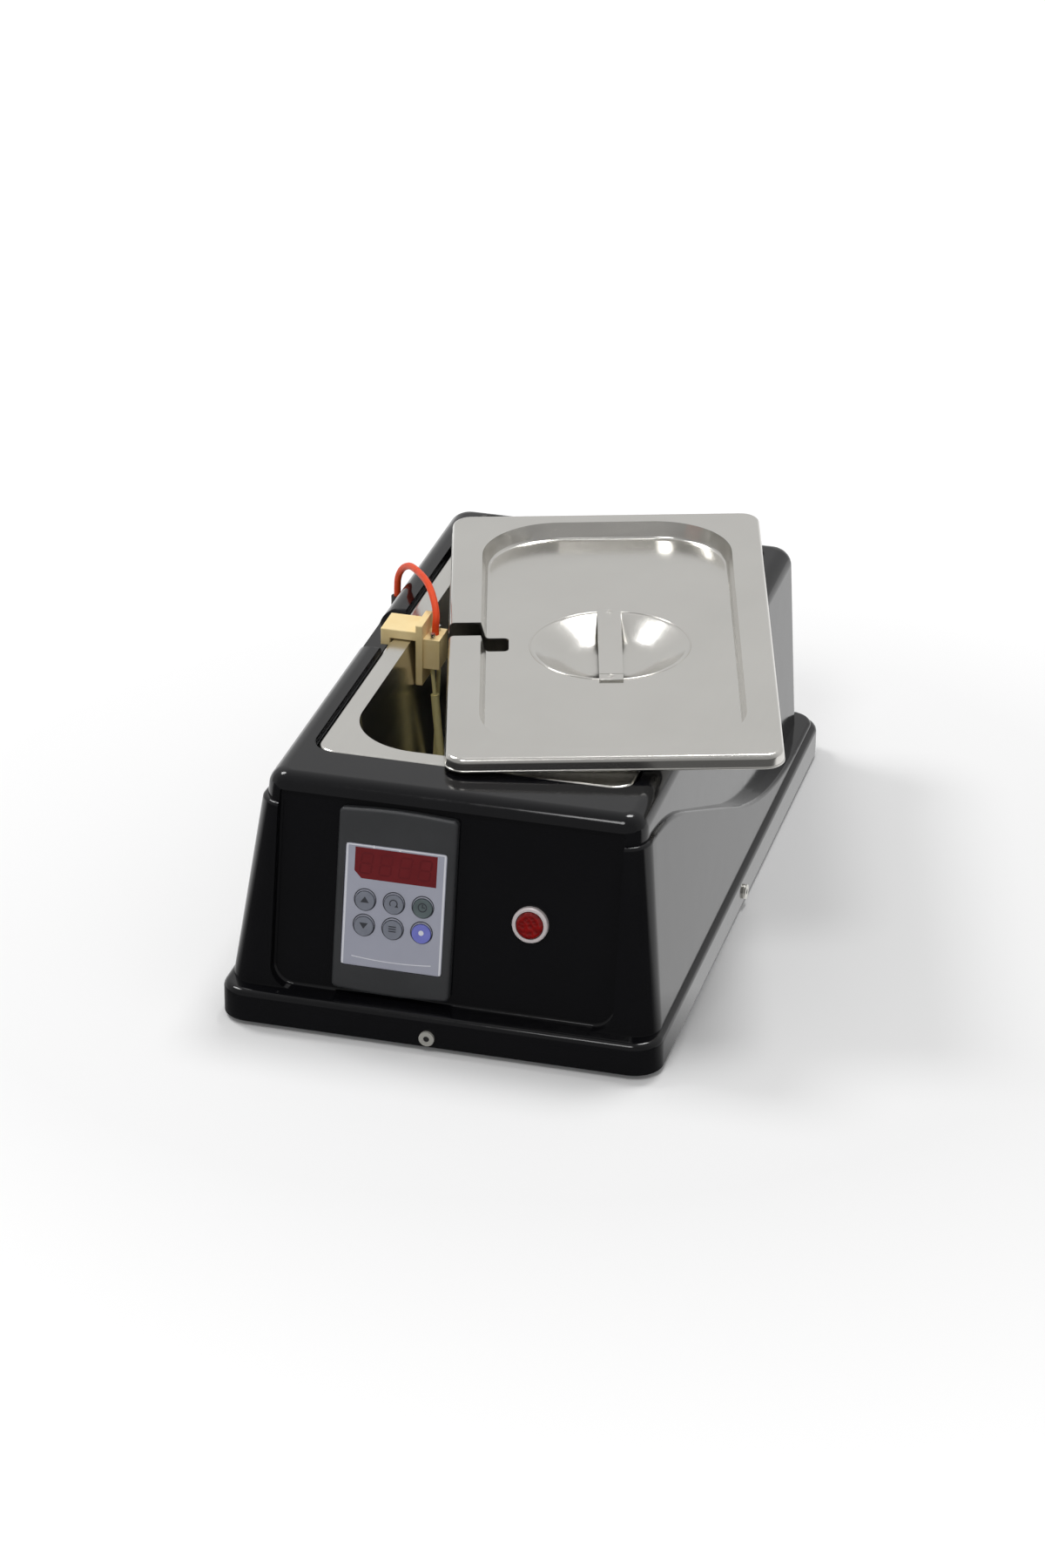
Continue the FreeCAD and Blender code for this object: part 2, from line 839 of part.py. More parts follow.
def wall_cylinder(name, radius, out, length):
    obj = doc.addObject("Part::Cylinder", name)
    bind(obj, "Radius", radius)
    bind(obj, "Height", length)
    turn(obj, (0, 1, 0), d.body_draft - 90)
    place(obj, *wall_point(as_size(out)))
    return obj


def bezel_outline(sketch, gap):
    # the bezel's plan, straight at the sides and arched at both ends, larger by a gap all round
    x, y = d.bezel_width / 2 + gap, d.bezel_straight / 2 + gap
    crown = y + d.bezel_arch
    corner, arch = d.bezel_corner + gap, d.bezel_arch_radius + gap
    outline(sketch, [(-x, -y, corner), (0, -crown, arch), (x, -y, corner), (x, y, corner), (0, crown, arch),
                     (-x, y, corner)])


def bezel_room():
    # keeps the housing clear of the bezel, wherever on the panel it sits
    body = new_body("bezel_room")
    plan = new_sketch(body, "bezel_room_plan", "XY_Plane")
    bezel_outline(plan, d.fit_gap)
    pad(body, plan, d.bezel_depth * 3)
    return on_panel(body, controller_anchor)


def housing():
    middle_y = (flange_front + flange_back) / 2
    solid = fuse("housing_solid", flange(), skirt(), upper_block())
    flange_inside = prism_space("flange_inside", (flange_half - d.flange_wall) * 2,
                                flange_back - flange_front - d.flange_wall * 2, middle_y,
                                d.flange_corner - d.flange_wall, d.foot_height - d.wall, flange_top - d.flange_wall)
    pan_recess = prism_space("pan_recess", recess_width, recess_length, d.pan_middle, d.pan_corner + d.pan_gap,
                             recess_floor, d.body_height + d.wall)
    well_opening = prism_space("well_opening", liner_width + d.liner_play * 2, liner_length + d.liner_play * 2,
                               d.pan_middle, liner_corner + d.liner_play, recess_floor - d.wall * 2, d.body_height)
    deep = d.wall * 4
    case_room = d.case_depth + d.fit_gap
    controller_hole = panel_box("controller_hole", controller_anchor,
                                (d.case_width + d.fit_gap * 2, d.case_height + d.fit_gap * 2, case_room + d.wall),
                                (0, 0, -case_room))
    button_hole = panel_cylinder("button_hole", button_anchor, d.barrel_radius + d.fit_gap, deep, (0, 0, -deep / 2))
    inlet_hole = box("inlet_hole", (d.inlet_width + d.fit_gap * 2, deep, d.inlet_tall + d.fit_gap * 2),
                     (d.inlet_x, rear_face, d.inlet_height - d.inlet_tall / 2 - d.fit_gap))
    gland_hole = wall_cylinder("gland_hole", d.gland_neck, -deep / 2, deep)
    screw_holes = screw_tools("flange_screw_holes", d.screw_radius + d.screw_play, d.flange_wall * 2)
    inlet_screw_holes = group("inlet_screw_holes", [
        cylinder(f"inlet_screw_hole{i}", d.foot_screw_radius + d.screw_play, deep,
                 (d.inlet_x + d.inlet_screw_pitch / 2 * way, rear_face - deep / 2, d.inlet_height), (0, 1, 0))
        for i, way in enumerate((-1, 1))])
    return cut("housing_shell", solid, panel_recess(), cavity(), flange_inside, pan_recess, well_opening,
               finger_notches(), bezel_room(), controller_hole, button_hole, inlet_hole, gland_hole,
               screw_holes, inlet_screw_holes)


part("housing", housing())


# Base plate, feet and their fasteners

flange_middle = (flange_front + flange_back) / 2
plate_half_x = flange_half - d.flange_wall - d.plate_inset
plate_half_y = (flange_back - flange_front) / 2 - d.flange_wall - d.plate_inset
foot_places = [((flange_half - d.foot_inset_x) * way, y)
               for way in (-1, 1) for y in (flange_front + d.foot_inset_y, flange_back - d.foot_inset_y)]
strip_y = insulation_front - d.strip_stand_off - d.strip_length / 2
strip_places = [(d.strip_x + d.strip_screw_pitch / 2 * way, strip_y) for way in (-1, 1)]


def upright_holes(name, places, radius, low, length):
    return group(name, [cylinder(f"{name}_{i}", radius, length, (x, y, low)) for i, (x, y) in enumerate(places)])


def base_plate():
    body = new_body("plate")
    plan = new_sketch(body, "plate_plan", "XY_Plane", plate_bottom)
    rectangle(plan, plate_half_x * 2, plate_half_y * 2, (0, flange_middle), d.flange_corner - d.flange_wall)
    pad(body, plan, d.plate_sheet)
    tabs = new_sketch(body, "plate_tabs", "XY_Plane", plate_bottom)
    inner_x = plate_half_x - d.plate_sheet / 2
    inner_y = plate_half_y - d.plate_sheet / 2
    for way in (-1, 1):
        rectangle(tabs, d.tab_width, d.plate_sheet, (d.flange_screw_shift, flange_middle + inner_y * way))
        rectangle(tabs, d.plate_sheet, d.tab_width, (inner_x * way, 0))
    pad(body, tabs, d.tab_height)
    low = plate_bottom - d.plate_sheet
    return cut("drilled_plate", body,
               screw_tools("tab_holes", d.screw_radius + d.screw_play, d.screw_length),
               upright_holes("foot_screw_holes", foot_places, d.foot_screw_radius + d.screw_play, low,
                             d.plate_sheet * 3),
               upright_holes("strip_screw_holes", strip_places, d.foot_screw_radius + d.screw_play, low,
                             d.plate_sheet * 3))


def rubber_feet():
    feet = upright_holes("foot_blanks", foot_places, d.foot_radius, 0.0, plate_bottom)
    seat = d.foot_head_sink + d.foot_head_height
    counterbores = upright_holes("foot_counterbores", foot_places, d.foot_screw_head + d.screw_play, 0.0, seat)
    bores = upright_holes("foot_bores", foot_places, d.foot_screw_radius + d.screw_play, 0.0, plate_bottom)
    return cut("feet", feet, counterbores, bores)


part("base_plate", base_plate())
part("flange_screws", round_screws("flange_screw", flange_screw_places, d.screw_radius, d.screw_length,
                                   d.screw_head_radius, d.screw_head_height))
part("rubber_feet", rubber_feet())
foot_seat = d.foot_head_sink + d.foot_head_height
part("foot_screws", round_screws("foot_screw", [((x, y, foot_seat), (0, 0, 1)) for x, y in foot_places],
                                 d.foot_screw_radius, d.foot_screw_length, d.foot_screw_head, d.foot_head_height))


# Heated well

liner_front = d.pan_middle - liner_length / 2
tongue_x = d.mat_width / 2 - d.mat_tongue
tongue_front = insulation_front - d.window_margin


def well_liner():
    body = new_body("liner")
    rim = new_sketch(body, "liner_rim", "XY_Plane", recess_floor)
    rectangle(rim, recess_width - d.liner_play * 2, recess_length - d.liner_play * 2, (0, d.pan_middle), d.pan_corner)
    pad(body, rim, d.liner_sheet)
    walls = new_sketch(body, "liner_walls", "XY_Plane", liner_bottom)
    rectangle(walls, liner_width, liner_length, (0, d.pan_middle), liner_corner)
    pad(body, walls, recess_floor + d.liner_sheet - liner_bottom)
    inside = new_sketch(body, "liner_inside", "XY_Plane", recess_floor + d.liner_sheet)
    rectangle(inside, liner_width - d.liner_sheet * 2, liner_length - d.liner_sheet * 2, (0, d.pan_middle),
              liner_corner - d.liner_sheet)
    pocket(body, inside, recess_floor - liner_bottom)
    return body


def heater_mat():
    body = new_body("mat")
    plan = new_sketch(body, "mat_plan", "XY_Plane", mat_bottom)
    rectangle(plan, d.mat_width, d.mat_length, (0, d.pan_middle), d.pan_corner)
    pad(body, plan, d.mat_thickness)
    tongue = new_sketch(body, "mat_tongue_plan", "XY_Plane", mat_bottom)
    reach = d.pan_middle - tongue_front
    rectangle(tongue, d.mat_tongue, reach, (tongue_x, d.pan_middle - reach / 2))
    pad(body, tongue, d.mat_thickness)
    return body


def insulation():
    top = recess_floor - d.wall - d.window_margin
    body = new_body("blanket")
    plan = new_sketch(body, "blanket_plan", "XY_Plane", insulation_bottom)
    corner = liner_corner + d.insulation_play
    rectangle(plan, insulation_width, insulation_length, (0, d.pan_middle), corner + d.insulation_thickness)
    pad(body, plan, top - insulation_bottom)
    inside = new_sketch(body, "blanket_inside", "XY_Plane", top)
    rectangle(inside, liner_width + d.insulation_play * 2, liner_length + d.insulation_play * 2, (0, d.pan_middle),
              corner)
    pocket(body, inside, top - mat_bottom)
    room = d.window_margin * 2
    depth = d.pan_middle - d.mat_length / 2 - tongue_front
    tongue_gap = box("tongue_gap", (d.mat_tongue + room, depth, d.mat_thickness + d.window_margin),
                     (tongue_x, tongue_front + depth / 2, mat_bottom))
    cutout_gap = box("cutout_gap",
                     (d.cutout_radius * 2 + room, d.insulation_thickness * 3, d.cutout_radius * 2 + room),
                     (d.cutout_x, liner_front, d.cutout_height - d.cutout_radius - d.window_margin))
    inlet_gap = box("inlet_gap", (d.inlet_width + room, d.inlet_depth * 2, d.inlet_tall + room),
                    (d.inlet_x, rear_face, d.inlet_height - d.inlet_tall / 2 - d.window_margin))
    return cut("insulation_blanket", body, tongue_gap, cutout_gap, inlet_gap)


def safety_cutout():
    disc = cylinder("cutout_disc", d.cutout_radius, d.cutout_depth / 2, (d.cutout_x, liner_front, d.cutout_height),
                    (0, -1, 0))
    cap = cylinder("cutout_cap", d.cutout_radius * 0.7, d.cutout_depth, (d.cutout_x, liner_front, d.cutout_height),
                   (0, -1, 0))
    blades = [box(f"cutout_blade{i}", (d.pin_width, d.cutout_depth, d.pin_sheet / 2),
                  (d.cutout_x + d.cutout_radius * 0.35 * way, liner_front - d.cutout_depth, d.cutout_height))
              for i, way in enumerate((-1, 1))]
    return fuse("cutout", disc, cap, *blades)


part("well_liner", well_liner())
part("heater_mat", heater_mat())
part("insulation", insulation())
part("safety_cutout", safety_cutout())


# Pan

def rounded_slab(name, width, length, middle_y, corner, low, height, edge_round):
    # a slab with rounded corners and a rounded top edge
    body = new_body(name)
    plan = new_sketch(body, f"{name}_plan", "XY_Plane", low)
    rectangle(plan, width, length, (0, middle_y), corner)
    pad(body, plan, height)
    round_edges(body, edge_round, lambda edge: level(edge, low + height))
    return body


def folded_rim(name, width, middle_y, corner, low, lip, sheet, edge_round):
    # a flat sheet as long as the pan, with its edge bent down all round
    outside = rounded_slab(f"{name}_outside", width, d.pan_length, middle_y, corner, low, lip, edge_round)
    inside = rounded_slab(f"{name}_inside", width - sheet * 2, d.pan_length - sheet * 2, middle_y,
                          corner - sheet, low - sheet, lip, edge_round - sheet)
    return cut(name, outside, inside)


def pan():
    rim = folded_rim("pan_rim", d.pan_width, d.pan_middle, d.pan_corner, pan_top - d.pan_lip, d.pan_lip, d.pan_sheet,
                     d.pan_edge_round)
    body = new_body("pan_sheet_metal")
    lean = atan_of(d.pan_taper / d.pan_depth)
    wall_top = pan_top - d.pan_sheet / 2
    wall = new_sketch(body, "pan_wall_plan", "XY_Plane", wall_top)
    rectangle(wall, opening_width + d.pan_sheet * 2, opening_length + d.pan_sheet * 2, (0, d.pan_middle),
              d.pan_opening_corner + d.pan_sheet)
    pad(body, wall, wall_top - pan_floor, lean=lean)
    round_edges(body, d.pan_floor_round + d.pan_sheet, lambda edge: level(edge, pan_floor))
    space = new_body("pan_space")
    inside = new_sketch(space, "pan_inside", "XY_Plane", pan_top)
    rectangle(inside, opening_width, opening_length, (0, d.pan_middle), d.pan_opening_corner)
    pad(space, inside, d.pan_depth - d.pan_sheet, lean=lean)
    round_edges(space, d.pan_floor_round, lambda edge: level(edge, pan_floor + d.pan_sheet))
    return cut("pan_insert", fuse("pan_blank", rim, body), space)


part("pan", pan())


# Lid, lying skewed on the housing

lid_top = d.body_height + d.lid_clear + d.lid_sheet + d.lid_sink


def on_lid(obj):
    turn(obj, (0, -d.lid_rock.number, 1), d.lid_turn)
    place(obj, d.lid_x, d.lid_y, lid_top)
    return obj


def lid():
    rim = folded_rim("lid_rim", d.lid_width, as_size(0), d.lid_corner, -d.lid_lip, d.lid_lip, d.lid_sheet,
                     d.lid_edge_round)
    body = new_body("lid_sheet_metal")
    floor = -d.lid_sink
    under = floor - d.lid_sheet
    lean = atan_of(d.lid_panel_lean / d.lid_sink)
    panel = new_sketch(body, "lid_panel_plan", "XY_Plane", -d.lid_sheet / 2)
    rectangle(panel, d.lid_panel_width + d.lid_sheet * 2, d.lid_panel_length + d.lid_sheet * 2, (0, 0),
              d.lid_panel_corner + d.lid_sheet)
    pad(body, panel, d.lid_sink + d.lid_sheet / 2, lean=lean)
    round_edges(body, d.lid_panel_round + d.lid_sheet, lambda edge: level(edge, under))

    def dish(owner, name, level_z):
        # a shallow round bowl under a level, with a flat border half a sheet thick above it
        profile = new_sketch(owner, name, "XZ_Plane")
        reach = d.bowl_radius + d.bowl_edge_reach
        lid_skin = level_z + d.lid_sheet / 2
        outline(profile, [(0, level_z - d.bowl_depth), (d.bowl_floor_radius, level_z - d.bowl_depth, d.bowl_round),
                          (d.bowl_radius, level_z, d.bowl_edge_round), (reach, level_z), (reach, lid_skin),
                          (0, lid_skin)])
        feature = owner.newObject("PartDesign::Revolution", f"{name}_spun")
        feature.Profile = profile
        feature.ReferenceAxis = (profile, ["V_Axis"])
        doc.recompute()

    dish(body, "bowl_under", under)
    space = new_body("lid_space")
    inside = new_sketch(space, "lid_inside", "XY_Plane", 0.0)
    rectangle(inside, d.lid_panel_width, d.lid_panel_length, (0, 0), d.lid_panel_corner)
    pad(space, inside, d.lid_sink, lean=lean)
    round_edges(space, d.lid_panel_round, lambda edge: level(edge, floor))
    bowl = new_body("bowl_space")
    dish(bowl, "bowl_inside", floor)
    slot = new_body("slot_space")
    plan = new_sketch(slot, "lid_slot", "XY_Plane", under - d.lid_sheet)
    edge_x = -d.lid_width / 2
    low = d.slot_middle - d.slot_width / 2
    high = d.slot_middle + d.slot_width / 2
    outline(plan, [(edge_x - d.lid_lip, low), (edge_x + d.slot_length, low, d.slot_round),
                   (edge_x + d.slot_length, high, d.slot_round), (edge_x - d.lid_lip, high)])
    pad(slot, plan, d.lid_sink + d.lid_sheet * 3)
    return on_lid(cut("lid_pressing", fuse("lid_blank", rim, body), space, bowl, slot))


def grip_bar():
    body = new_body("grip_strap")
    plan = new_sketch(body, "grip_strap_plan", "XY_Plane", -d.lid_sink)
    rectangle(plan, d.bar_width, (d.bowl_radius + d.bar_overlap) * 2)
    pad(body, plan, d.bar_sheet)
    return on_lid(body)


part("lid", lid())
part("lid_grip_bar", grip_bar())


# Controller on the front panel, drawn in the panel's own frame

face_front = d.bezel_depth - d.face_sink
face_back = face_front - d.face_sheet
face_middle = (0.0, -d.face_drop)
key_columns = {"left": -1, "middle": 0, "right": 1}
key_rows = {"top": 1, "bottom": -1}


def key_place(column, row):
    return (d.key_pitch_x * column, -d.face_drop - d.key_row_drop + d.key_pitch_y / 2 * row)


def display_corners():
    x, y = d.display_width / 2, d.display_height / 2
    middle = d.display_rise - d.face_drop
    return [(d.display_chamfer - x, middle - y), (x, middle - y), (x, middle + y), (-x, middle + y),
            (-x, middle - y + d.display_chamfer)]


def controller_bezel():
    body = new_body("bezel")
    plan = new_sketch(body, "bezel_plan", "XY_Plane")
    bezel_outline(plan, as_size(0))
    pad(body, plan, d.bezel_depth)
    round_edges(body, d.bezel_round, lambda edge: level(edge, d.bezel_depth))
    seat = new_sketch(body, "face_seat", "XY_Plane", d.bezel_depth)
    rectangle(seat, d.face_width + d.fit_gap * 2, d.face_height + d.fit_gap * 2, face_middle, d.face_corner)
    pocket(body, seat, d.face_sink + d.face_sheet)
    opening = new_sketch(body, "bezel_opening", "XY_Plane", d.bezel_depth)
    rectangle(opening, d.face_width - d.face_shoulder * 2, d.face_height - d.face_shoulder * 2, face_middle)
    pocket(body, opening, d.bezel_depth * 1.5)
    return on_panel(body, controller_anchor)


def controller_face():
    body = new_body("face")
    plan = new_sketch(body, "face_plan", "XY_Plane", face_back)
    rectangle(plan, d.face_width, d.face_height, face_middle, d.face_corner)
    pad(body, plan, d.face_sheet)
    holes = new_sketch(body, "face_holes", "XY_Plane", face_front)
    outline(holes, display_corners())
    for row in key_rows.values():
        for column in key_columns.values():
            circle(holes, d.key_radius + d.key_gap, key_place(column, row))
    pocket(body, holes, d.face_sheet * 2)
    return on_panel(body, controller_anchor)


def display_window():
    body = new_body("window")
    plan = new_sketch(body, "window_plan", "XY_Plane", face_back)
    outline(plan, display_corners())
    pad(body, plan, d.face_sheet)
    return on_panel(body, controller_anchor)


def key(name, column, row):
    body = new_body(f"{name}_cap")
    stem = new_sketch(body, f"{name}_stem", "XY_Plane", d.key_travel + d.fit_gap - d.board_depth)
    circle(stem, d.key_stem_radius)
    pad(body, stem, face_front - d.key_travel - d.fit_gap + d.board_depth)
    head = new_sketch(body, f"{name}_head", "XY_Plane", face_back)
    circle(head, d.key_radius)
    top = face_front + d.key_proud
    pad(body, head, top - face_back)
    round_edges(body, d.key_round, lambda edge: level(edge, top))
    return on_panel(body, controller_anchor, key_place(column, row) + (0,))


def controller_case():
    outer = panel_box("case_block", controller_anchor, (d.case_width, d.case_height, d.case_depth),
                      (0, 0, -d.case_depth))
    inner = panel_box("case_inside", controller_anchor,
                      (d.case_width - d.case_wall * 2, d.case_height - d.case_wall * 2, d.case_depth),
                      (0, 0, d.case_wall - d.case_depth))
    return cut("case", outer, inner)


def controller_clips():
    return group("clips", [
        panel_box(f"clip{i}", controller_anchor, (d.clip_sheet, d.clip_width, d.clip_depth),
                  ((d.case_width + d.clip_sheet) / 2 * way, 0, -panel_thickness - d.clip_depth))
        for i, way in enumerate((-1, 1))])


part("controller_bezel", controller_bezel())
part("controller_face", controller_face())
part("display_window", display_window())
for row_name, row in key_rows.items():
    for column_name, column in key_columns.items():
        node = f"key_{row_name}_{column_name}"
        part(node, key(node, column, row))
part("controller_case", controller_case())
part("controller_board", panel_box("board", controller_anchor,
                                   (d.case_width - d.case_wall * 2, d.case_height - d.case_wall * 2, d.board_sheet),
                                   (0, 0, -d.board_depth - d.board_sheet)))
part("display_module", panel_box("digits", controller_anchor,
                                 (d.display_width - d.face_shoulder, d.display_height - d.face_shoulder,
                                  face_back - d.digits_gap + d.board_depth),
                                 (0, d.display_rise - d.face_drop, -d.board_depth)))
part("controller_terminals", panel_box("terminals", controller_anchor,
                                       (d.terminal_width, d.terminal_height, d.terminal_depth),
                                       (0, -d.terminal_drop, -d.case_depth - d.terminal_depth)))
part("controller_clips", controller_clips())


# Red lit button

button_bore = d.button_radius + d.button_gap
barrel_depth = d.button_stem + d.button_travel + d.wall


def switch_ring():
    body = new_body("ring")
    plan = new_sketch(body, "ring_plan", "XY_Plane")
    circle(plan, d.ring_radius)
    pad(body, plan, d.ring_height)
    round_edges(body, d.ring_round, lambda edge: level(edge, d.ring_height))
    bore = new_sketch(body, "ring_bore", "XY_Plane", d.ring_height)
    circle(bore, button_bore)
    pocket(body, bore, d.ring_height * 2)
    return on_panel(body, button_anchor)


def power_button():
    body = new_body("button")
    plan = new_sketch(body, "button_plan", "XY_Plane", -d.button_stem)
    circle(plan, d.button_radius)
    pad(body, plan, d.button_stem + d.button_proud)
    round_edges(body, d.button_round, lambda edge: level(edge, d.button_proud))
    return on_panel(body, button_anchor)


def switch_barrel():
    length = barrel_depth + d.barrel_back
    outer = panel_cylinder("barrel_blank", button_anchor, d.barrel_radius, length, (0, 0, -length))
    bore = panel_cylinder("barrel_bore", button_anchor, button_bore, barrel_depth, (0, 0, -barrel_depth))
    return cut("barrel", outer, bore)


def switch_nut():
    start = -panel_thickness - d.nut_height
    blank = doc.addObject("Part::Prism", "nut_blank")
    blank.Polygon = 6
    bind(blank, "Circumradius", d.nut_radius)
    bind(blank, "Height", d.nut_height)
    on_panel(blank, button_anchor, (0, 0, start))
    bore = panel_cylinder("nut_bore", button_anchor, d.barrel_radius, d.nut_height, (0, 0, start))
    return cut("barrel_nut", blank, bore)


part("switch_ring", switch_ring())
part("power_button", power_button())
part("switch_barrel", switch_barrel())
part("switch_nut", switch_nut())


# Mains inlet on the rear wall

inlet_floor = rear_face - d.inlet_depth + d.inlet_wall
inlet_screw_places = [((d.inlet_x + d.inlet_screw_pitch / 2 * way, rear_face + d.inlet_plate, d.inlet_height),
                       (0, -1, 0))
                      for way in (-1, 1)]


def mains_inlet():
    low = d.inlet_height - d.inlet_tall / 2
    plate = box("inlet_face", (d.inlet_plate_width, d.inlet_plate, d.inlet_plate_height),
                (d.inlet_x, rear_face + d.inlet_plate / 2, d.inlet_height - d.inlet_plate_height / 2))
    barrel = box("inlet_barrel", (d.inlet_width, d.inlet_depth, d.inlet_tall),
                 (d.inlet_x, rear_face - d.inlet_depth / 2, low))
    depth = rear_face + d.inlet_plate - inlet_floor
    cavity_box = box("inlet_cavity", (d.inlet_width - d.inlet_wall * 2, depth, d.inlet_tall - d.inlet_wall * 2),
                     (d.inlet_x, inlet_floor + depth / 2, low + d.inlet_wall))
    holes = group("inlet_plate_holes", [
        cylinder(f"inlet_plate_hole{i}", d.foot_screw_radius + d.screw_play, d.inlet_plate, start, axis)
        for i, (start, axis) in enumerate(inlet_screw_places)])
    return cut("inlet", fuse("inlet_blank", plate, barrel), cavity_box, holes)


def inlet_pins():
    return group("pins", [
        box(f"pin{i}", (d.pin_sheet, d.pin_length, d.pin_width),
            (d.inlet_x + d.pin_pitch * step, inlet_floor + d.pin_length / 2,
             d.inlet_height + d.pin_offset * (1 if step == 0 else -1) - d.pin_width / 2))
        for i, step in enumerate((-1, 0, 1))])


part("mains_inlet", mains_inlet())
part("inlet_pins", inlet_pins())
part("inlet_screws", round_screws("inlet_screw", inlet_screw_places, d.foot_screw_radius,
                                  d.inlet_plate + d.foot_screw_length, d.foot_screw_head, d.foot_head_height))


# Terminal strip and earth stud on the base plate

def terminal_strip():
    blank = box("strip_blank", (d.strip_width, d.strip_length, d.strip_height), (d.strip_x, strip_y, plate_top))
    return cut("strip", blank, upright_holes("strip_holes", strip_places, d.foot_screw_radius + d.screw_play,
                                             plate_top, d.strip_height))


def earth_stud():
    spot = (d.stud_x, strip_y, plate_top)
    stud = cylinder("stud", d.stud_radius, d.stud_length, spot)
    return fuse("stud_and_nut", stud, prism("stud_nut", d.stud_nut_radius, d.stud_nut_height, spot))


strip_top = plate_top + d.strip_height
part("terminal_strip", terminal_strip())
part("strip_screws", round_screws("strip_screw", [((x, y, strip_top), (0, 0, -1)) for x, y in strip_places],
                                  d.foot_screw_radius, d.strip_height + d.plate_sheet, d.foot_screw_head,
                                  d.foot_head_height))
part("earth_stud", earth_stud())


# Probe, hooked over the pan's left rim

leg_x = d.pan_taper * d.hook_leg_length / d.pan_depth + d.hook_clear - opening_width / 2
socket_x = leg_x + d.hook_leg + d.socket_width / 2
socket_top = pan_top + d.socket_rise
socket_bottom = socket_top - d.socket_height
# each rod: its place on the socket, and its lean to the right
rod_places = [(socket_x - d.rod_radius, d.probe_middle - d.rod_pitch / 2, d.rod_lean),
              (socket_x + d.rod_radius, d.probe_middle + d.rod_pitch / 2, -d.rod_lean / 2)]


def probe_clip():
    body = new_body("hook")
    side = new_sketch(body, "hook_side", "XZ_Plane", -d.probe_middle)
    outer = -d.pan_width / 2 - d.hook_clear
    rim = pan_top + d.hook_clear
    top = rim + d.hook_thickness
    leg = leg_x + d.hook_leg
    foot = pan_top - d.hook_leg_length
    toe = pan_top - d.hook_drop
    outline(side, [(outer - d.hook_outer, toe), (outer, toe), (outer, rim), (leg_x, rim), (leg_x, foot), (leg, foot),
                   (leg, top + d.hook_upstand), (leg_x, top + d.hook_upstand), (leg_x, top),
                   (outer - d.hook_outer, top)])
    pad(body, side, d.hook_width, symmetric=True)
    return body


def rod(name, x, y, lean, radius, start, length):
    # hangs from inside the socket; start counts down the rod from its upper end
    obj = doc.addObject("Part::Cylinder", name)
    bind(obj, "Radius", radius)
    bind(obj, "Height", length)
    turn(obj, (0, 1, 0), 180 - lean)
    place(obj, x + start * sin_of(lean), y, socket_bottom + d.rod_bury - start * cos_of(lean))
    return obj


def probe_rods():
    whole = d.rod_bury + d.rod_length
    return group("rods", [rod(f"rod{i}", x, y, lean, d.rod_radius, as_size(0), whole)
                          for i, (x, y, lean) in enumerate(rod_places)])


def probe_sleeve():
    x, y, lean = rod_places[0]
    start = d.rod_bury + d.sleeve_start
    length = d.rod_length - d.sleeve_start
    return cut("sleeve", rod("sleeve_blank", x, y, lean, d.sleeve_radius, start, length),
               rod("sleeve_bore", x, y, lean, d.rod_radius, start, length))


def probe_socket():
    blank = box("socket_blank", (d.socket_width, d.socket_length, d.socket_height),
                (socket_x, d.probe_middle, socket_bottom))
    bores = [rod(f"socket_bore{i}", x, y, lean, d.rod_radius + d.rod_play, -d.rod_play * 2, d.rod_bury * 2)
             for i, (x, y, lean) in enumerate(rod_places)]
    return cut("socket", blank, *bores)


def probe_terminals():
    return group("terminal_pins", [
        cylinder(f"terminal_pin{i}", d.pin_radius, d.pin_rise,
                 (socket_x, d.probe_middle + d.socket_length / 3 * way, socket_top))
        for i, way in enumerate((-1, 1))])


part("probe_clip", probe_clip())
part("probe_socket", probe_socket())
part("probe_rods", probe_rods())
part("probe_sleeve", probe_sleeve())
part("probe_terminals", probe_terminals())


# Cable gland with an elbow, the probe's free lead, and the wiring inside

wall_square = d.wall * cos_of(d.body_draft)
elbow = wall_point(d.elbow_reach)
elbow_mouth = (elbow[0], elbow[1], elbow[2] + d.elbow_rise)
part("cable_gland", fuse(
    "gland",
    wall_cylinder("gland_collar_out", d.gland_radius, 0.0, d.gland_collar),
    wall_cylinder("gland_throat", d.gland_neck - d.gland_play, -wall_square, wall_square),
    wall_cylinder("gland_collar_in", d.gland_radius, -wall_square - d.gland_collar, d.gland_collar),
    wall_cylinder("gland_arm", d.elbow_radius, 0.0, d.elbow_reach),
    cylinder("gland_elbow", d.elbow_radius, d.elbow_rise + d.elbow_radius,
             (elbow[0], elbow[1], elbow[2] - d.elbow_radius))))

# the free lead's points over the rim: X, Y and the height above the housing's top, chosen from the photograph
outer_points = [(-111.2, 100.7, -5.8), (-107.8, 96.8, 1.3), (-102.3, 89.5, 7.3), (-95.6, 78.6, 12.2),
                (-88.5, 66.0, 15.2)]
inner_points = [(-88.5, 66.0, 15.2), (-80.832, 52.392, 18.44), (-73.6, 39.3, 18.6), (-68.0, 28.9, 14.6),
                (-65.0, 22.2, 10.0)]


def over_rim(points):
    return [(x, y, d.body_height + rise) for x, y, rise in points]


def straight_end(mouth, length):
    return (mouth[0], mouth[1], mouth[2] + length)


socket_mouth = (socket_x, d.probe_middle, socket_top)
part("probe_cable_outer", tube("cable_outer", [
    elbow_mouth, straight_end(elbow_mouth, d.gland_straight), *over_rim(outer_points)], d.cable_radius))
part("probe_cable_inner", tube("cable_inner", [
    *over_rim(inner_points), straight_end(socket_mouth, d.socket_straight), socket_mouth], d.cable_radius))

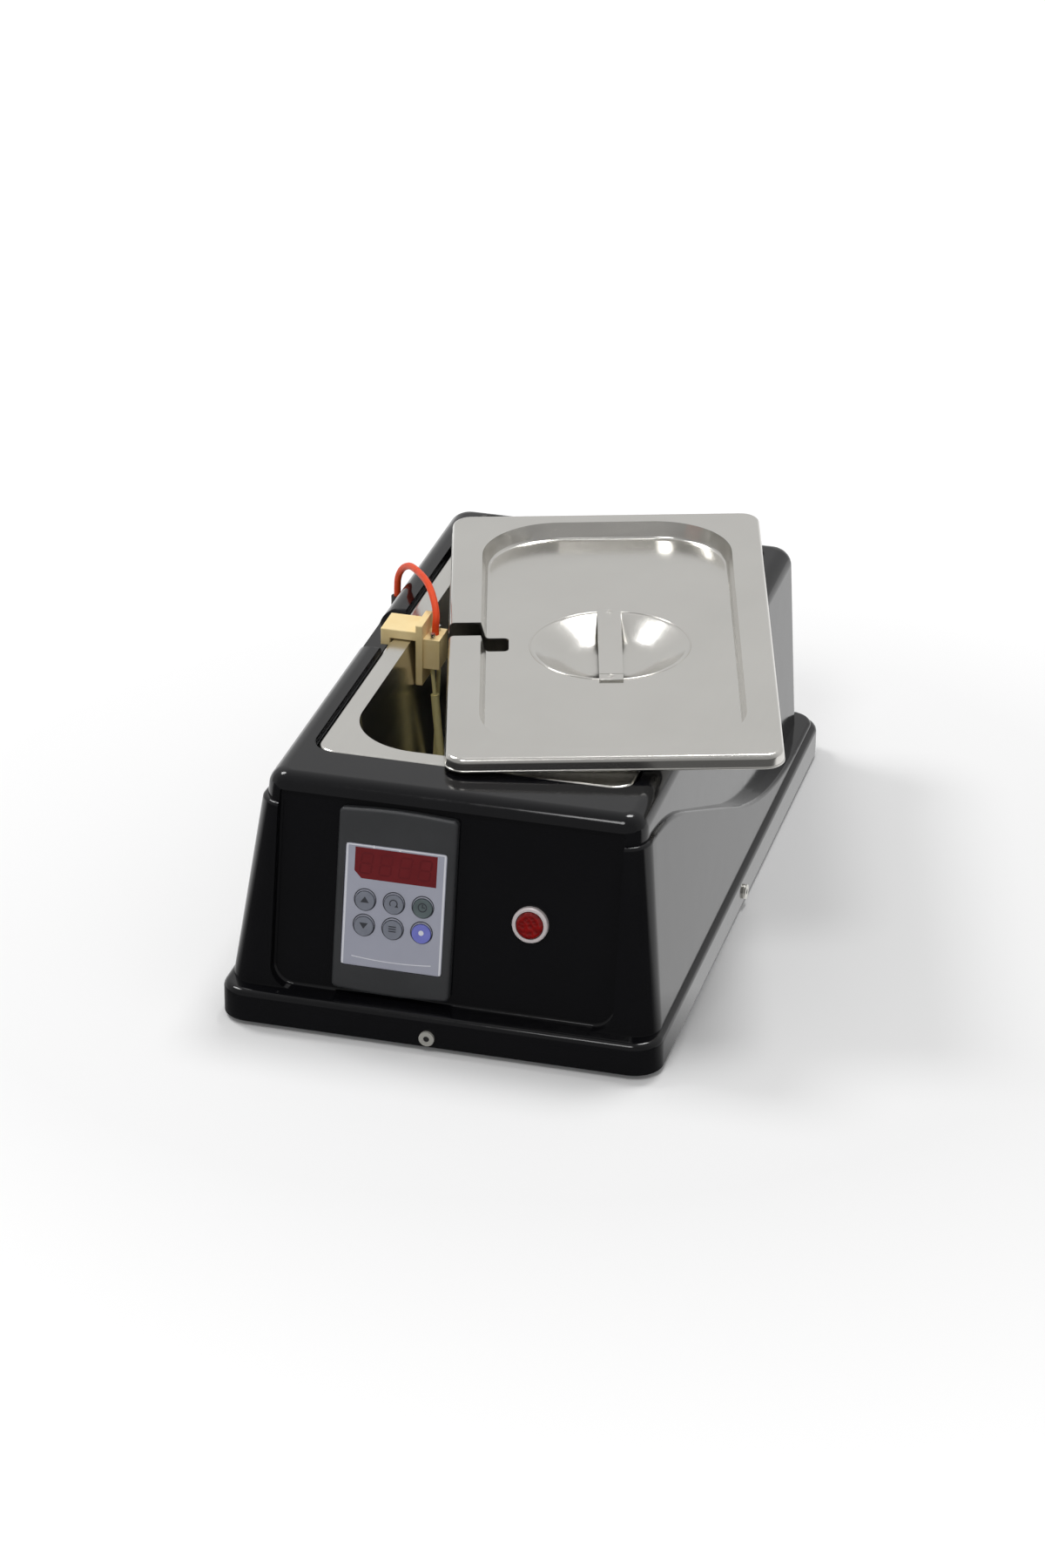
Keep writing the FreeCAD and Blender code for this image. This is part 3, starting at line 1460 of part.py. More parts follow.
lead_height = plate_top + d.lead_radius * 3
inlet_lead_y = rear_face - d.inlet_depth / 2
beside_blanket = insulation_width / 2 + d.lead_radius * 1.6
part("mains_leads", tube("mains_lead", [
    (d.inlet_x, inlet_lead_y, d.inlet_height - d.inlet_tall / 2), (d.inlet_x, inlet_lead_y, lead_height),
    (beside_blanket, inlet_lead_y, lead_height), (beside_blanket, strip_y, lead_height),
    (d.strip_x + d.strip_width / 2, strip_y, lead_height)], d.lead_radius))
mat_middle = mat_bottom + d.mat_thickness / 2
strip_back = strip_y + d.strip_length / 2
drop_y = (tongue_front + strip_back) / 2
part("heater_leads", tube("heater_lead", [
    (tongue_x, tongue_front, mat_middle), (tongue_x, drop_y, mat_middle), (tongue_x, drop_y, lead_height),
    (tongue_x, strip_back, lead_height)], d.heater_lead_radius))
terminal_middle = panel_point(controller_anchor, (-d.terminal_width / 2, -d.terminal_drop,
                                                  -d.case_depth - d.terminal_depth / 2))
inner_collar = -wall_square - d.gland_collar
channel = wall_point(inner_collar - d.lead_radius * 3.3)
part("probe_lead", tube("inside_lead", [
    wall_point(inner_collar), channel, (channel[0], d.gland_y, lead_height),
    (channel[0], terminal_middle[1], lead_height), (channel[0], terminal_middle[1], terminal_middle[2]),
    terminal_middle], d.lead_radius))


# Check everything, then write one file per sub-part

doc.recompute()
for obj in doc.Objects:
    if "Invalid" in obj.State or "Error" in obj.State:
        raise RuntimeError(f"{obj.Name} failed: {obj.getStatusString()}")
for node, obj in parts.items():
    if obj.Shape.isNull() or not obj.Shape.isValid() or not obj.Shape.Solids:
        raise RuntimeError(f"{node} has no sound shape")
os.makedirs("parts", exist_ok=True)
for node, obj in parts.items():
    obj.Shape.exportStep(f"parts/{node}.step")
print(len(parts), "sub-parts written")
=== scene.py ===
import json
import math

import bmesh
import bpy
from mathutils import Matrix, Vector


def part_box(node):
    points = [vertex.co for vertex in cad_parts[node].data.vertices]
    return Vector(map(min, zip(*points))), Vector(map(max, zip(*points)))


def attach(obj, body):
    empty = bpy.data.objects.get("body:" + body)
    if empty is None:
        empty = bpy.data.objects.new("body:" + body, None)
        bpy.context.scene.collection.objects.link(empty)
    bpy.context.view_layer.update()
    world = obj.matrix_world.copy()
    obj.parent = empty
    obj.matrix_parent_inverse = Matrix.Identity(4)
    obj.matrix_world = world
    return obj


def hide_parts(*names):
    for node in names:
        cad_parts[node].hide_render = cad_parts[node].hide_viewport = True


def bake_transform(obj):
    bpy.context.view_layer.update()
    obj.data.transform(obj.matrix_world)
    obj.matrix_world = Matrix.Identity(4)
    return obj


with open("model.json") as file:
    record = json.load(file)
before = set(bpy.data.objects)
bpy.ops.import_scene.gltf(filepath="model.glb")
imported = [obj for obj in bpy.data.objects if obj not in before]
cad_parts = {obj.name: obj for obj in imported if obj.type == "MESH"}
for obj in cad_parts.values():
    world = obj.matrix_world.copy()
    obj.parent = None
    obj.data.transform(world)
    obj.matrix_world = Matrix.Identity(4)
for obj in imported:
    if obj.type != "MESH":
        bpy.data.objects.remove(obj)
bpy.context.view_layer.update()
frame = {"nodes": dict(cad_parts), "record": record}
nodes = frame["nodes"]
bodyOf = {node: body for body, members in frame["record"]["behaviour"]["bodies"].items() for node in members}
slotOf = {item["node"]: item["material_slot"] for item in frame["record"]["subparts"]}
print("frame loaded,", len(nodes), "nodes")


def linear(hexColour):
    channels = [int(hexColour[i:i + 2], 16) / 255 for i in (1, 3, 5)]
    return tuple(c / 12.92 if c <= 0.04045 else ((c + 0.055) / 1.055) ** 2.4 for c in channels) + (1.0,)


def addNode(tree, kind, inputs=None, **settings):
    node = tree.nodes.new(kind)
    for name, value in settings.items():
        setattr(node, name, value)
    for name, value in (inputs or {}).items():
        if isinstance(value, bpy.types.NodeSocket):
            tree.links.new(value, node.inputs[name])
        else:
            node.inputs[name].default_value = value
    return node


def perMetre(millimetres):
    return 1000.0 / millimetres  # texture scale for a feature of that size


def startMaterial(name, **sockets):
    material = bpy.data.materials.new(name)
    material.use_nodes = True
    tree = material.node_tree
    shader = tree.nodes["Principled BSDF"]
    for socket, value in sockets.items():
        shader.inputs[socket.replace("_", " ")].default_value = value
    where = addNode(tree, "ShaderNodeTexCoord").outputs["Object"]
    return material, tree, shader, where


# one recipe for moulded, painted and rubber surfaces: cloudy colour, uneven gloss, fine grain
def grainy(name, dark, pale, roughness, grain, cloud=30.0, bump=0.05, **sockets):
    material, tree, shader, where = startMaterial(name, **sockets)
    clouds = addNode(tree, "ShaderNodeTexNoise", {"Vector": where, "Scale": perMetre(cloud), "Detail": 4.0})
    colour = addNode(tree, "ShaderNodeMix", {"Factor": clouds.outputs["Fac"], 6: linear(dark), 7: linear(pale)},
                     data_type="RGBA")
    grains = addNode(tree, "ShaderNodeTexNoise", {"Vector": where, "Scale": perMetre(grain), "Detail": 3.0})
    gloss = addNode(tree, "ShaderNodeMapRange", {"Value": grains.outputs["Fac"], "From Min": 0.3, "From Max": 0.7,
                                                 "To Min": roughness * 0.8, "To Max": roughness * 1.2})
    relief = addNode(tree, "ShaderNodeBump", {"Height": grains.outputs["Fac"], "Strength": bump,
                                              "Distance": grain * 0.0002})
    tree.links.new(colour.outputs[2], shader.inputs["Base Color"])
    tree.links.new(gloss.outputs["Result"], shader.inputs["Roughness"])
    tree.links.new(relief.outputs["Normal"], shader.inputs["Normal"])
    return material


# vacuum-formed ABS sheet: deep gloss, with a slow ripple and faint handling marks
def makeGlossAbs():
    material, tree, shader, where = startMaterial("glossBlackAbs", Specular_IOR_Level=0.36, IOR=1.5)
    clouds = addNode(tree, "ShaderNodeTexNoise", {"Vector": where, "Scale": perMetre(45), "Detail": 5.0})
    colour = addNode(tree, "ShaderNodeMix", {"Factor": clouds.outputs["Fac"], 6: linear("#08080a"),
                                             7: linear("#0e0e11")}, data_type="RGBA")
    marks = addNode(tree, "ShaderNodeTexNoise", {"Vector": where, "Scale": perMetre(7), "Detail": 8.0,
                                                 "Roughness": 0.7})
    gloss = addNode(tree, "ShaderNodeMapRange", {"Value": marks.outputs["Fac"], "From Min": 0.35, "From Max": 0.75,
                                                 "To Min": 0.07, "To Max": 0.15})
    ripple = addNode(tree, "ShaderNodeTexNoise", {"Vector": where, "Scale": perMetre(22), "Detail": 2.0})
    relief = addNode(tree, "ShaderNodeBump", {"Height": ripple.outputs["Fac"], "Strength": 0.04, "Distance": 0.0015})
    tree.links.new(colour.outputs[2], shader.inputs["Base Color"])
    tree.links.new(gloss.outputs["Result"], shader.inputs["Roughness"])
    tree.links.new(relief.outputs["Normal"], shader.inputs["Normal"])
    return material


# pressed stainless steel: satin, its gloss streaked along the rolling direction, with a slow wave left by the press
def makeStainless(name, turn, roughness, colours=("#d3d1cc", "#dedcd7")):
    material, tree, shader, where = startMaterial(name, Metallic=1.0)
    turned = addNode(tree, "ShaderNodeMapping", {"Vector": where, "Rotation": (0, 0, -math.radians(turn)),
                                                 "Scale": (1.0, 0.02, 1.0)})
    lines = addNode(tree, "ShaderNodeTexNoise", {"Vector": turned.outputs["Vector"], "Scale": perMetre(1.6),
                                                 "Detail": 3.0})
    clouds = addNode(tree, "ShaderNodeTexNoise", {"Vector": where, "Scale": perMetre(60), "Detail": 4.0})
    colour = addNode(tree, "ShaderNodeMix", {"Factor": clouds.outputs["Fac"], 6: linear(colours[0]),
                                             7: linear(colours[1])}, data_type="RGBA")
    gloss = addNode(tree, "ShaderNodeMapRange", {"Value": lines.outputs["Fac"], "From Min": 0.3, "From Max": 0.7,
                                                 "To Min": roughness * 0.88, "To Max": roughness * 1.12})
    waves = addNode(tree, "ShaderNodeTexNoise", {"Vector": where, "Scale": perMetre(35), "Detail": 1.0})
    relief = addNode(tree, "ShaderNodeBump", {"Height": waves.outputs["Fac"], "Strength": 0.03, "Distance": 0.002})
    tree.links.new(colour.outputs[2], shader.inputs["Base Color"])
    tree.links.new(gloss.outputs["Result"], shader.inputs["Roughness"])
    tree.links.new(relief.outputs["Normal"], shader.inputs["Normal"])
    return material


# moulded polycarbonate lens: clear red with a cut pattern of small prisms under the skin
def makeLens():
    material, tree, shader, where = startMaterial("redLens", Roughness=0.10, IOR=1.58, Specular_IOR_Level=0.4)
    cells = addNode(tree, "ShaderNodeTexVoronoi", {"Vector": where, "Scale": perMetre(2.2)})
    colour = addNode(tree, "ShaderNodeMix", {"Factor": cells.outputs["Distance"], 6: linear("#5c0000"),
                                             7: linear("#930403")}, data_type="RGBA")
    relief = addNode(tree, "ShaderNodeBump", {"Height": cells.outputs["Distance"], "Strength": 0.5,
                                              "Distance": 0.0006})
    tree.links.new(colour.outputs[2], shader.inputs["Base Color"])
    tree.links.new(relief.outputs["Normal"], shader.inputs["Normal"])
    return material


lidTurn = 15.2  # degrees the lid lies askew on the pan
materials = {
    "black_abs": makeGlossAbs(),
    "stainless": makeStainless("satinStainless", 0.0, 0.22),
    "lid_stainless": makeStainless("satinStainlessLid", lidTurn, 0.20),
    # spark-eroded mould skin: an even dark grey that breaks up reflections
    "bezel_plastic": grainy("sparkTexturedPolycarbonate", "#303133", "#3e3f41", 0.45, 0.6, bump=0.12),
    # printed film, flat and slightly silky; the keys are the same film, pressed into domes
    "face_film": grainy("printedPolyesterFilm", "#9d9fae", "#adafbc", 0.42, 0.8, cloud=25, bump=0.03),
    "red_window": grainy("redAcrylicFilter", "#5e161b", "#7b2428", 0.14, 1.5, cloud=14, bump=0.01),
    "key_grey": grainy("embossedKeyFilm", "#70747f", "#858995", 0.45, 0.8, cloud=6, bump=0.05),
    "key_green_grey": grainy("embossedGreenKeyFilm", "#4e5a5c", "#657274", 0.45, 0.8, cloud=6, bump=0.05),
    "key_blue": grainy("embossedBlueKeyFilm", "#666bc0", "#8085d4", 0.45, 0.8, cloud=6, bump=0.05),
    # plated brass, tumbled satin, with a wide soft highlight; its pale pinkish white is partly the plating's own
    # colour and partly a painted reflection of bright surroundings, kept mostly diffuse so it shows under the lamps
    "ring_chrome": grainy("palePlatedBrassPaintedReflection", "#e4d9d9", "#f4ecec", 0.35, 1.0, bump=0.01, Metallic=0.35),
    "red_lens": makeLens(),
    # undyed nylon goes honey-coloured with heat, duller than ABS
    "tan_plastic": grainy("naturalPolyamide", "#e6cb8a", "#f4dfac", 0.42, 0.9, cloud=9, bump=0.08),
    # drawn and lacquered rod: pale yellow, hardly mirror-like
    "probe_brass": grainy("drawnBrass", "#e6d68c", "#f4eab2", 0.34, 0.7, cloud=8, bump=0.03, Metallic=0.2),
    "terminal_nickel": grainy("nickelPlate", "#b9b4b0", "#d2cdc9", 0.25, 0.7, bump=0.02, Metallic=1.0),
    # extruded silicone: strong colour under a dull, slightly waxy skin
    "orange_silicone": grainy("extrudedSilicone", "#d43a0e", "#e4501c", 0.5, 0.8, cloud=10, bump=0.06,
                              Specular_IOR_Level=0.25),
    # zinc plating: pale grey and a little cloudy
    "screw_steel": grainy("zincPlatedSteel", "#cfcdc6", "#e6e4dc", 0.34, 0.5, cloud=4, bump=0.03, Metallic=0.55),
    # moulded rubbers: matt, near black
    "foot_rubber": grainy("mouldedRubber", "#1a1a1a", "#242424", 0.75, 0.7, bump=0.12),
    "gland_rubber": grainy("mouldedGlandRubber", "#131313", "#1e1e1e", 0.6, 0.7, bump=0.10),
    # bare sheet metals: spangle on the zinc, fine haze on the aluminium
    "zinc_plate": grainy("galvanisedSheet", "#93969a", "#b0b3b6", 0.38, 3.0, cloud=12, bump=0.03, Metallic=1.0),
    "liner_aluminium": grainy("foldedAluminiumSheet", "#b2b3b5", "#c6c7c9", 0.34, 1.0, cloud=20, bump=0.02,
                              Metallic=1.0),
    # pieces inside, seen only when the part is taken to bits
    "silicone_mat": grainy("curedSiliconeSheet", "#a04a38", "#b75a46", 0.6, 0.9, bump=0.10),
    "fibre_blanket": grainy("needledFibreBlanket", "#c8c2b0", "#ded9c9", 0.9, 1.2, cloud=5, bump=0.5),
    "cutout_plastic": grainy("mouldedPhenolic", "#222222", "#2e2e2e", 0.5, 0.6, bump=0.06),
    "case_plastic": grainy("mouldedCaseAbs", "#1f1f20", "#2a2a2b", 0.5, 0.6, bump=0.08),
    "board_laminate": grainy("glassEpoxyLaminate", "#235a34", "#2c6b3f", 0.35, 0.5, bump=0.06),
    "digit_block": grainy("castEpoxyBlock", "#2a0c0e", "#3a1214", 0.35, 0.7, bump=0.03),
    "inlet_plastic": grainy("mouldedInletNylon", "#151515", "#202020", 0.4, 0.6, bump=0.06),
    "contact_brass": grainy("stampedBrass", "#b79a55", "#cbb06c", 0.3, 0.6, bump=0.03, Metallic=1.0),
    "strip_plastic": grainy("whiteNylon", "#d6d4cc", "#e4e2da", 0.5, 0.7, bump=0.06),
    "lead_grey": grainy("heatProofLeadSleeve", "#4a4a4c", "#5c5c5e", 0.6, 0.8, bump=0.10),
    # screen-print inks: flat, with a faint weave of the screen
    "icon_ink": grainy("screenPrintInk", "#33353c", "#41434b", 0.55, 0.5, bump=0.02),
    "pale_ink": grainy("paleScreenPrintInk", "#d3d4dc", "#e2e3e9", 0.5, 0.5, bump=0.02),
}
print("materials made,", len(materials))

materialOf = {node: materials[slot] for node, slot in slotOf.items()}
materialOf["lid"] = materials["lid_stainless"]
materialOf["lid_grip_bar"] = materials["lid_stainless"]
for node, thing in nodes.items():
    thing.data.materials.clear()
    thing.data.materials.append(materialOf[node])


def addPiece(name, mesh, body, material):
    piece = bpy.data.objects.new(name, mesh)
    bpy.context.scene.collection.objects.link(piece)
    mesh.materials.clear()
    mesh.materials.append(material)
    if body is not None:
        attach(piece, body)
    return piece


# CAD solids whose curves are seen close: same shape, joined faces and soft shading, with a fine edge break on some
softNodes = {"angle": 28.0, "join": 2e-6, "breakAngle": 50.0, "breakSteps": 2,
             "edgeBreak": {"controller_bezel": 0.0003, "probe_clip": 0.0005, "probe_socket": 0.0006,
                           "controller_face": 0.0001, "lid_grip_bar": 0.00025, "mains_inlet": 0.0004,
                           "probe_terminals": 0.0002},
             "plain": ["housing", "pan", "lid", "switch_ring", "power_button", "flange_screws", "cable_gland",
                       "probe_rods", "probe_sleeve", "rubber_feet"]
                      + [name for name in nodes if name.startswith("key_")]}


def softCopy(node, edgeBreak):
    mesh = nodes[node].data.copy()
    work = bmesh.new()
    work.from_mesh(mesh)
    bmesh.ops.remove_doubles(work, verts=work.verts, dist=softNodes["join"])
    limit = math.radians(softNodes["angle"])
    for face in work.faces:
        face.smooth = True
    for edge in work.edges:
        edge.smooth = len(edge.link_faces) == 2 and edge.calc_face_angle(0.0) < limit
    work.to_mesh(mesh)
    work.free()
    piece = addPiece(f"{node}Skin", mesh, bodyOf[node], materialOf[node])
    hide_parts(node)
    if edgeBreak:
        bevel = piece.modifiers.new("edgeBreak", "BEVEL")
        bevel.width = edgeBreak
        bevel.segments = softNodes["breakSteps"]
        bevel.limit_method = "ANGLE"
        bevel.angle_limit = math.radians(softNodes["breakAngle"])
    soft = piece.modifiers.new("softNormals", "WEIGHTED_NORMAL")
    soft.keep_sharp = True


for node in softNodes["plain"]:
    softCopy(node, 0.0)
for node, size in softNodes["edgeBreak"].items():
    softCopy(node, size)
print("soft shading on", len(softNodes["plain"]) + len(softNodes["edgeBreak"]), "nodes")


# Probe lead: two stretches of one silicone cable, from the gland over the rim and down into the probe's socket
probeLead = {"diameter": 0.004, "sides": 20, "steps": 16,
             "outer": [(-0.11196, 0.1020, 0.11734), (-0.11196, 0.1020, 0.12334), (-0.1112, 0.1007, 0.1302),
                       (-0.1078, 0.0968, 0.1373), (-0.1023, 0.0895, 0.1433), (-0.0956, 0.0786, 0.1482),
                       (-0.0885, 0.0660, 0.1512)],
             "inner": [(-0.0885, 0.0660, 0.1512), (-0.08083, 0.05239, 0.15444), (-0.0736, 0.0393, 0.1546),
                       (-0.0680, 0.0289, 0.1506), (-0.0650, 0.0222, 0.1460), (-0.06474, 0.0190, 0.1410),
                       (-0.06474, 0.0190, 0.1360)],
             # the turn where each stretch meets its second body; the inner one's place is raised, because a level
             # one would draw the lead thin where the probe's lift tips it up
             "outerTurn": (-0.0885, 0.0660, 0.1512), "innerTurn": (-0.07365, 0.03663, 0.1702)}


def smoothRoute(name, route):
    curve = bpy.data.curves.new(name, "CURVE")
    curve.dimensions = "3D"
    curve.resolution_u = probeLead["steps"]
    spline = curve.splines.new("NURBS")
    spline.points.add(len(route) - 1)
    for point, place in zip(spline.points, route):
        point.co = (*place, 1.0)
    spline.order_u = 3
    spline.use_endpoint_u = True
    holder = bpy.data.objects.new(name, curve)
    bpy.context.scene.collection.objects.link(holder)
    bpy.context.view_layer.update()
    line = bpy.data.meshes.new_from_object(holder.evaluated_get(bpy.context.evaluated_depsgraph_get()))
    points = [vertex.co.copy() for vertex in line.vertices]
    bpy.data.objects.remove(holder)
    bpy.data.curves.remove(curve)
    bpy.data.meshes.remove(line)
    return points


def tubeMesh(name, points, radius, sides):
    work = bmesh.new()
    along = [(points[min(i + 1, len(points) - 1)] - points[max(i - 1, 0)]).normalized() for i in range(len(points))]
    side = along[0].orthogonal().normalized()
    rings = []
    for point, way in zip(points, along):
        side = (side - way * side.dot(way)).normalized()
        other = way.cross(side)
        turns = [2 * math.pi * k / sides for k in range(sides)]
        rings.append([work.verts.new(point + (side * math.cos(t) + other * math.sin(t)) * radius) for t in turns])
    for low, high in zip(rings, rings[1:]):
        for k in range(sides):
            work.faces.new((low[k], low[(k + 1) % sides], high[(k + 1) % sides], high[k])).smooth = True
    work.faces.new(list(reversed(rings[0])))
    work.faces.new(rings[-1])
    bmesh.ops.recalc_face_normals(work, faces=work.faces)
    mesh = bpy.data.meshes.new(name)
    work.to_mesh(mesh)
    work.free()
    return mesh


def layLead(name, stretch, node):
    points = smoothRoute(f"{name}Route", probeLead[stretch])
    mesh = tubeMesh(name, points, probeLead["diameter"] / 2, probeLead["sides"])
    piece = addPiece(name, mesh, None, materials["orange_silicone"])
    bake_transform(piece)
    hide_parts(node)


layLead("probeLeadOuter", "outer", "probe_cable_outer")
layLead("probeLeadInner", "inner", "probe_cable_inner")


def middleOf(node):
    low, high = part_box(node)
    return (Vector(low) + Vector(high)) / 2


def flatShape(work, corners, low, high):
    # a thin plate with a straight-sided outline, closed all round
    floor = [work.verts.new((x, y, low)) for x, y in corners]
    roof = [work.verts.new((x, y, high)) for x, y in corners]
    work.faces.new(list(reversed(floor)))
    work.faces.new(roof)
    for i in range(len(corners)):
        j = (i + 1) % len(corners)
        work.faces.new((floor[i], floor[j], roof[j], roof[i]))


def arcPoints(radius, start, end, count, middle=(0.0, 0.0)):
    angles = [math.radians(start + (end - start) * i / (count - 1)) for i in range(count)]
    return [(middle[0] + radius * math.cos(a), middle[1] + radius * math.sin(a)) for a in angles]


def bandShape(work, radius, width, start, end, low, high, count=24, middle=(0.0, 0.0)):
    outer = arcPoints(radius + width / 2, start, end, count, middle)
    inner = arcPoints(radius - width / 2, start, end, count, middle)
    flatShape(work, outer + list(reversed(inner)), low, high)


def finishShape(work, name, place):
    bmesh.ops.recalc_face_normals(work, faces=work.faces)
    work.transform(place)
    mesh = bpy.data.meshes.new(name)
    work.to_mesh(mesh)
    work.free()
    return mesh


# Lid dressing: a rolled hem along the lip, a fine bead round the bowl, spot welds and a fold line on the grip bar
lidDress = {"rock": 0.085, "beadRadius": 0.0452, "beadWire": 0.00055, "beadSunk": 0.3, "beadSides": 96,
            "weldPlace": 0.0425, "weldRadius": 0.0016, "weldWire": 0.00025, "weldSides": 24, "weldAround": 8,
            "barHalf": 0.0006, "foldPlace": -0.0398, "foldHalf": 0.0066, "foldWide": 0.00025,
            "foldSink": 0.0002, "foldRise": 0.00012,
            "hemWire": 0.0007, "hemRise": 0.0021, "hemHalf": (0.0903, 0.1623), "hemCorner": 0.0108, "hemSteps": 9,
            "hemSides": 10, "slotEnds": (0.0117, -0.0071)}
lidLean = Vector((0, -lidDress["rock"], 1))  # axis the lid is turned about, as its right side lies higher
lidPlane = Matrix.Translation(middleOf("lid_grip_bar")) @ Matrix.Rotation(math.radians(lidTurn), 4, lidLean)


def beadLoop(work, radius, wire, middle, sides, around=10):
    rings = []
    for k in range(sides):
        turn = 2 * math.pi * k / sides
        out = Vector((math.cos(turn), math.sin(turn), 0))
        angles = [2 * math.pi * j / around for j in range(around)]
        rings.append([work.verts.new(Vector(middle) + out * (radius + wire * math.cos(a))
                                     + Vector((0, 0, wire * math.sin(a)))) for a in angles])
    for k in range(sides):
        near, far = rings[k], rings[(k + 1) % sides]
        for j in range(around):
            work.faces.new((near[j], far[j], far[(j + 1) % around], near[(j + 1) % around])).smooth = True


def makeBowlBead():
    work = bmesh.new()
    sunk = -lidDress["barHalf"] - lidDress["beadWire"] * lidDress["beadSunk"]
    beadLoop(work, lidDress["beadRadius"], lidDress["beadWire"], (0, 0, sunk), lidDress["beadSides"])
    return finishShape(work, "bowlBead", lidPlane)


def makeBarMarks():
    work = bmesh.new()
    for side in (-1, 1):
        beadLoop(work, lidDress["weldRadius"], lidDress["weldWire"],
                 (0, side * lidDress["weldPlace"], lidDress["barHalf"]), lidDress["weldSides"],
                 lidDress["weldAround"])
    x, y, wide, top = lidDress["foldHalf"], lidDress["foldPlace"], lidDress["foldWide"], lidDress["barHalf"]
    flatShape(work, [(-x, y - wide), (x, y - wide), (x, y + wide), (-x, y + wide)], top - lidDress["foldSink"],
              top + lidDress["foldRise"])
    return finishShape(work, "barMarks", lidPlane)


def makeHem():
    # rolled edge along the lip's lower border, open where the slot is
    x, y = lidDress["hemHalf"]
    r, steps = lidDress["hemCorner"], lidDress["hemSteps"]
    start, end = lidDress["slotEnds"]
    flat = [(-x, start)]
    for angle, middle in ((180, (-x + r, y - r)), (90, (x - r, y - r)), (0, (x - r, -y + r)), (-90, (-x + r, -y + r))):
        flat += arcPoints(r, angle, angle - 90, steps, middle)
    line = [lidPlane @ Vector((px, py, lidDress["hemRise"])) for px, py in flat + [(-x, end)]]
    return tubeMesh("lidHem", line, lidDress["hemWire"], lidDress["hemSides"])


addPiece("lidHem", makeHem(), "lid", materials["lid_stainless"])
addPiece("bowlBead", makeBowlBead(), "lid", materials["lid_stainless"])
addPiece("barMarks", makeBarMarks(), "lid", materials["lid_stainless"])
print("lid dressed")


# Painted shade: thin dark discs set just inside the mouths of the flange screws' sockets, one on each side of the
# flange, standing in for the shade inside the sockets
socketShadeDiscs = {"share": 0.42, "depth": 0.0002, "floor": 0.0006, "sides": 6, "rimBand": 0.0001}


def makeSocketShade():
    work = bmesh.new()
    points = [vertex.co for vertex in nodes["flange_screws"].data.vertices]
    for out in (Vector((1, 0, 0)), Vector((-1, 0, 0)), Vector((0, 1, 0)), Vector((0, -1, 0))):
        reach = max(point.dot(out) for point in points)
        rim = [point for point in points if point.dot(out) > reach - socketShadeDiscs["rimBand"]]
        low, high = min(point.z for point in rim), max(point.z for point in rim)
        middle = sum((point for point in rim), Vector()) / len(rim)
        middle.z = (low + high) / 2
        middle -= out * (middle.dot(out) - reach)
        across = out.cross(Vector((0, 0, 1)))
        radius = (high - low) / 2 * socketShadeDiscs["share"]
        turns = [2 * math.pi * k / socketShadeDiscs["sides"] for k in range(socketShadeDiscs["sides"])]
        rings = [[work.verts.new(middle - out * depth + across * radius * math.cos(t)
                                 + Vector((0, 0, radius * math.sin(t)))) for t in turns]
                 for depth in (socketShadeDiscs["depth"], socketShadeDiscs["floor"])]
        work.faces.new(rings[0])
        work.faces.new(list(reversed(rings[1])))
        for k in range(len(turns)):
            j = (k + 1) % len(turns)
            work.faces.new((rings[0][k], rings[0][j], rings[1][j], rings[1][k]))
    return finishShape(work, "socketShadeDiscs", Matrix.Identity(4))


# dark moulded plastic used as painted shade in the screw sockets
addPiece("socketShadeDiscs", makeSocketShade(), "base", materials["case_plastic"])
print("screw sockets set")


# The controller's own plane: X to the right, Y up the slope, Z out of the panel
panelSlope = math.radians(11.2)
panelAxes = Matrix(((1, 0, 0), (0, math.sin(panelSlope), -math.cos(panelSlope)),
                    (0, math.cos(panelSlope), math.sin(panelSlope))))


def onPanel(centre):
    return Matrix.Translation(centre) @ panelAxes.to_4x4()


facePlane = onPanel(middleOf("controller_face"))
faceTop = 0.001  # printed side above the face's middle
facePlaneBack = facePlane.inverted()
keyNodes = sorted(name for name in nodes if name.startswith("key_"))
keySpots = {name: (facePlaneBack @ middleOf(name)).xy for name in keyNodes}


# Generic symbols printed on the keys
keySymbols = {"size": 0.0024, "rise": 0.00006, "sink": 0.0002, "line": 0.0006, "proud": 0.0009}


def drawSymbol(name):
    s = keySymbols["size"]
    low, high = -keySymbols["sink"], keySymbols["rise"]
    line = keySymbols["line"]
    work = bmesh.new()
    if name == "key_top_left":
        flatShape(work, [(-s, -s * 0.6), (s, -s * 0.6), (0, s * 0.8)], low, high)
    elif name == "key_bottom_left":
        flatShape(work, [(-s, s * 0.6), (0, -s * 0.8), (s, s * 0.6)], low, high)
    elif name == "key_top_middle":
        bandShape(work, s * 0.85, line, -40, 220, low, high)
        flatShape(work, [(s * 0.3, -s * 0.75), (s * 1.15, -s * 0.75), (s * 0.75, -s * 0.15)], low, high)
    elif name == "key_top_right":
        bandShape(work, s * 0.95, line, 0, 355, low, high, 40)
        flatShape(work, [(-line / 2, -line / 2), (line / 2, -line / 2), (line / 2, s * 0.7), (-line / 2, s * 0.7)],
                  low, high)
        flatShape(work, [(line * 0.7, -line / 2), (s * 0.6, -line / 2), (s * 0.6, line / 2), (line * 0.7, line / 2)],
                  low, high)
    elif name == "key_bottom_middle":
        for y in (-s * 0.55, 0.0, s * 0.55):
            flatShape(work, [(-s * 0.85, y - line / 2), (s * 0.85, y - line / 2), (s * 0.85, y + line / 2),
                             (-s * 0.85, y + line / 2)], low, high)
    else:
        flatShape(work, arcPoints(s * 0.6, 0, 348, 30), low, high)
    top = faceTop + keySymbols["proud"]
    place = facePlane @ Matrix.Translation((keySpots[name].x, keySpots[name].y, top))
    return finishShape(work, f"{name}Symbol", place)


for name in keyNodes:
    ink = materials["pale_ink"] if name == "key_bottom_right" else materials["icon_ink"]
    addPiece(f"{name}Symbol", drawSymbol(name), bodyOf[name], ink)
print("key symbols printed")


# Printed rims round the keys, set out on the key places
keyRims = {"radius": 0.0060, "wire": 0.00028, "sides": 48, "wireSides": 8}


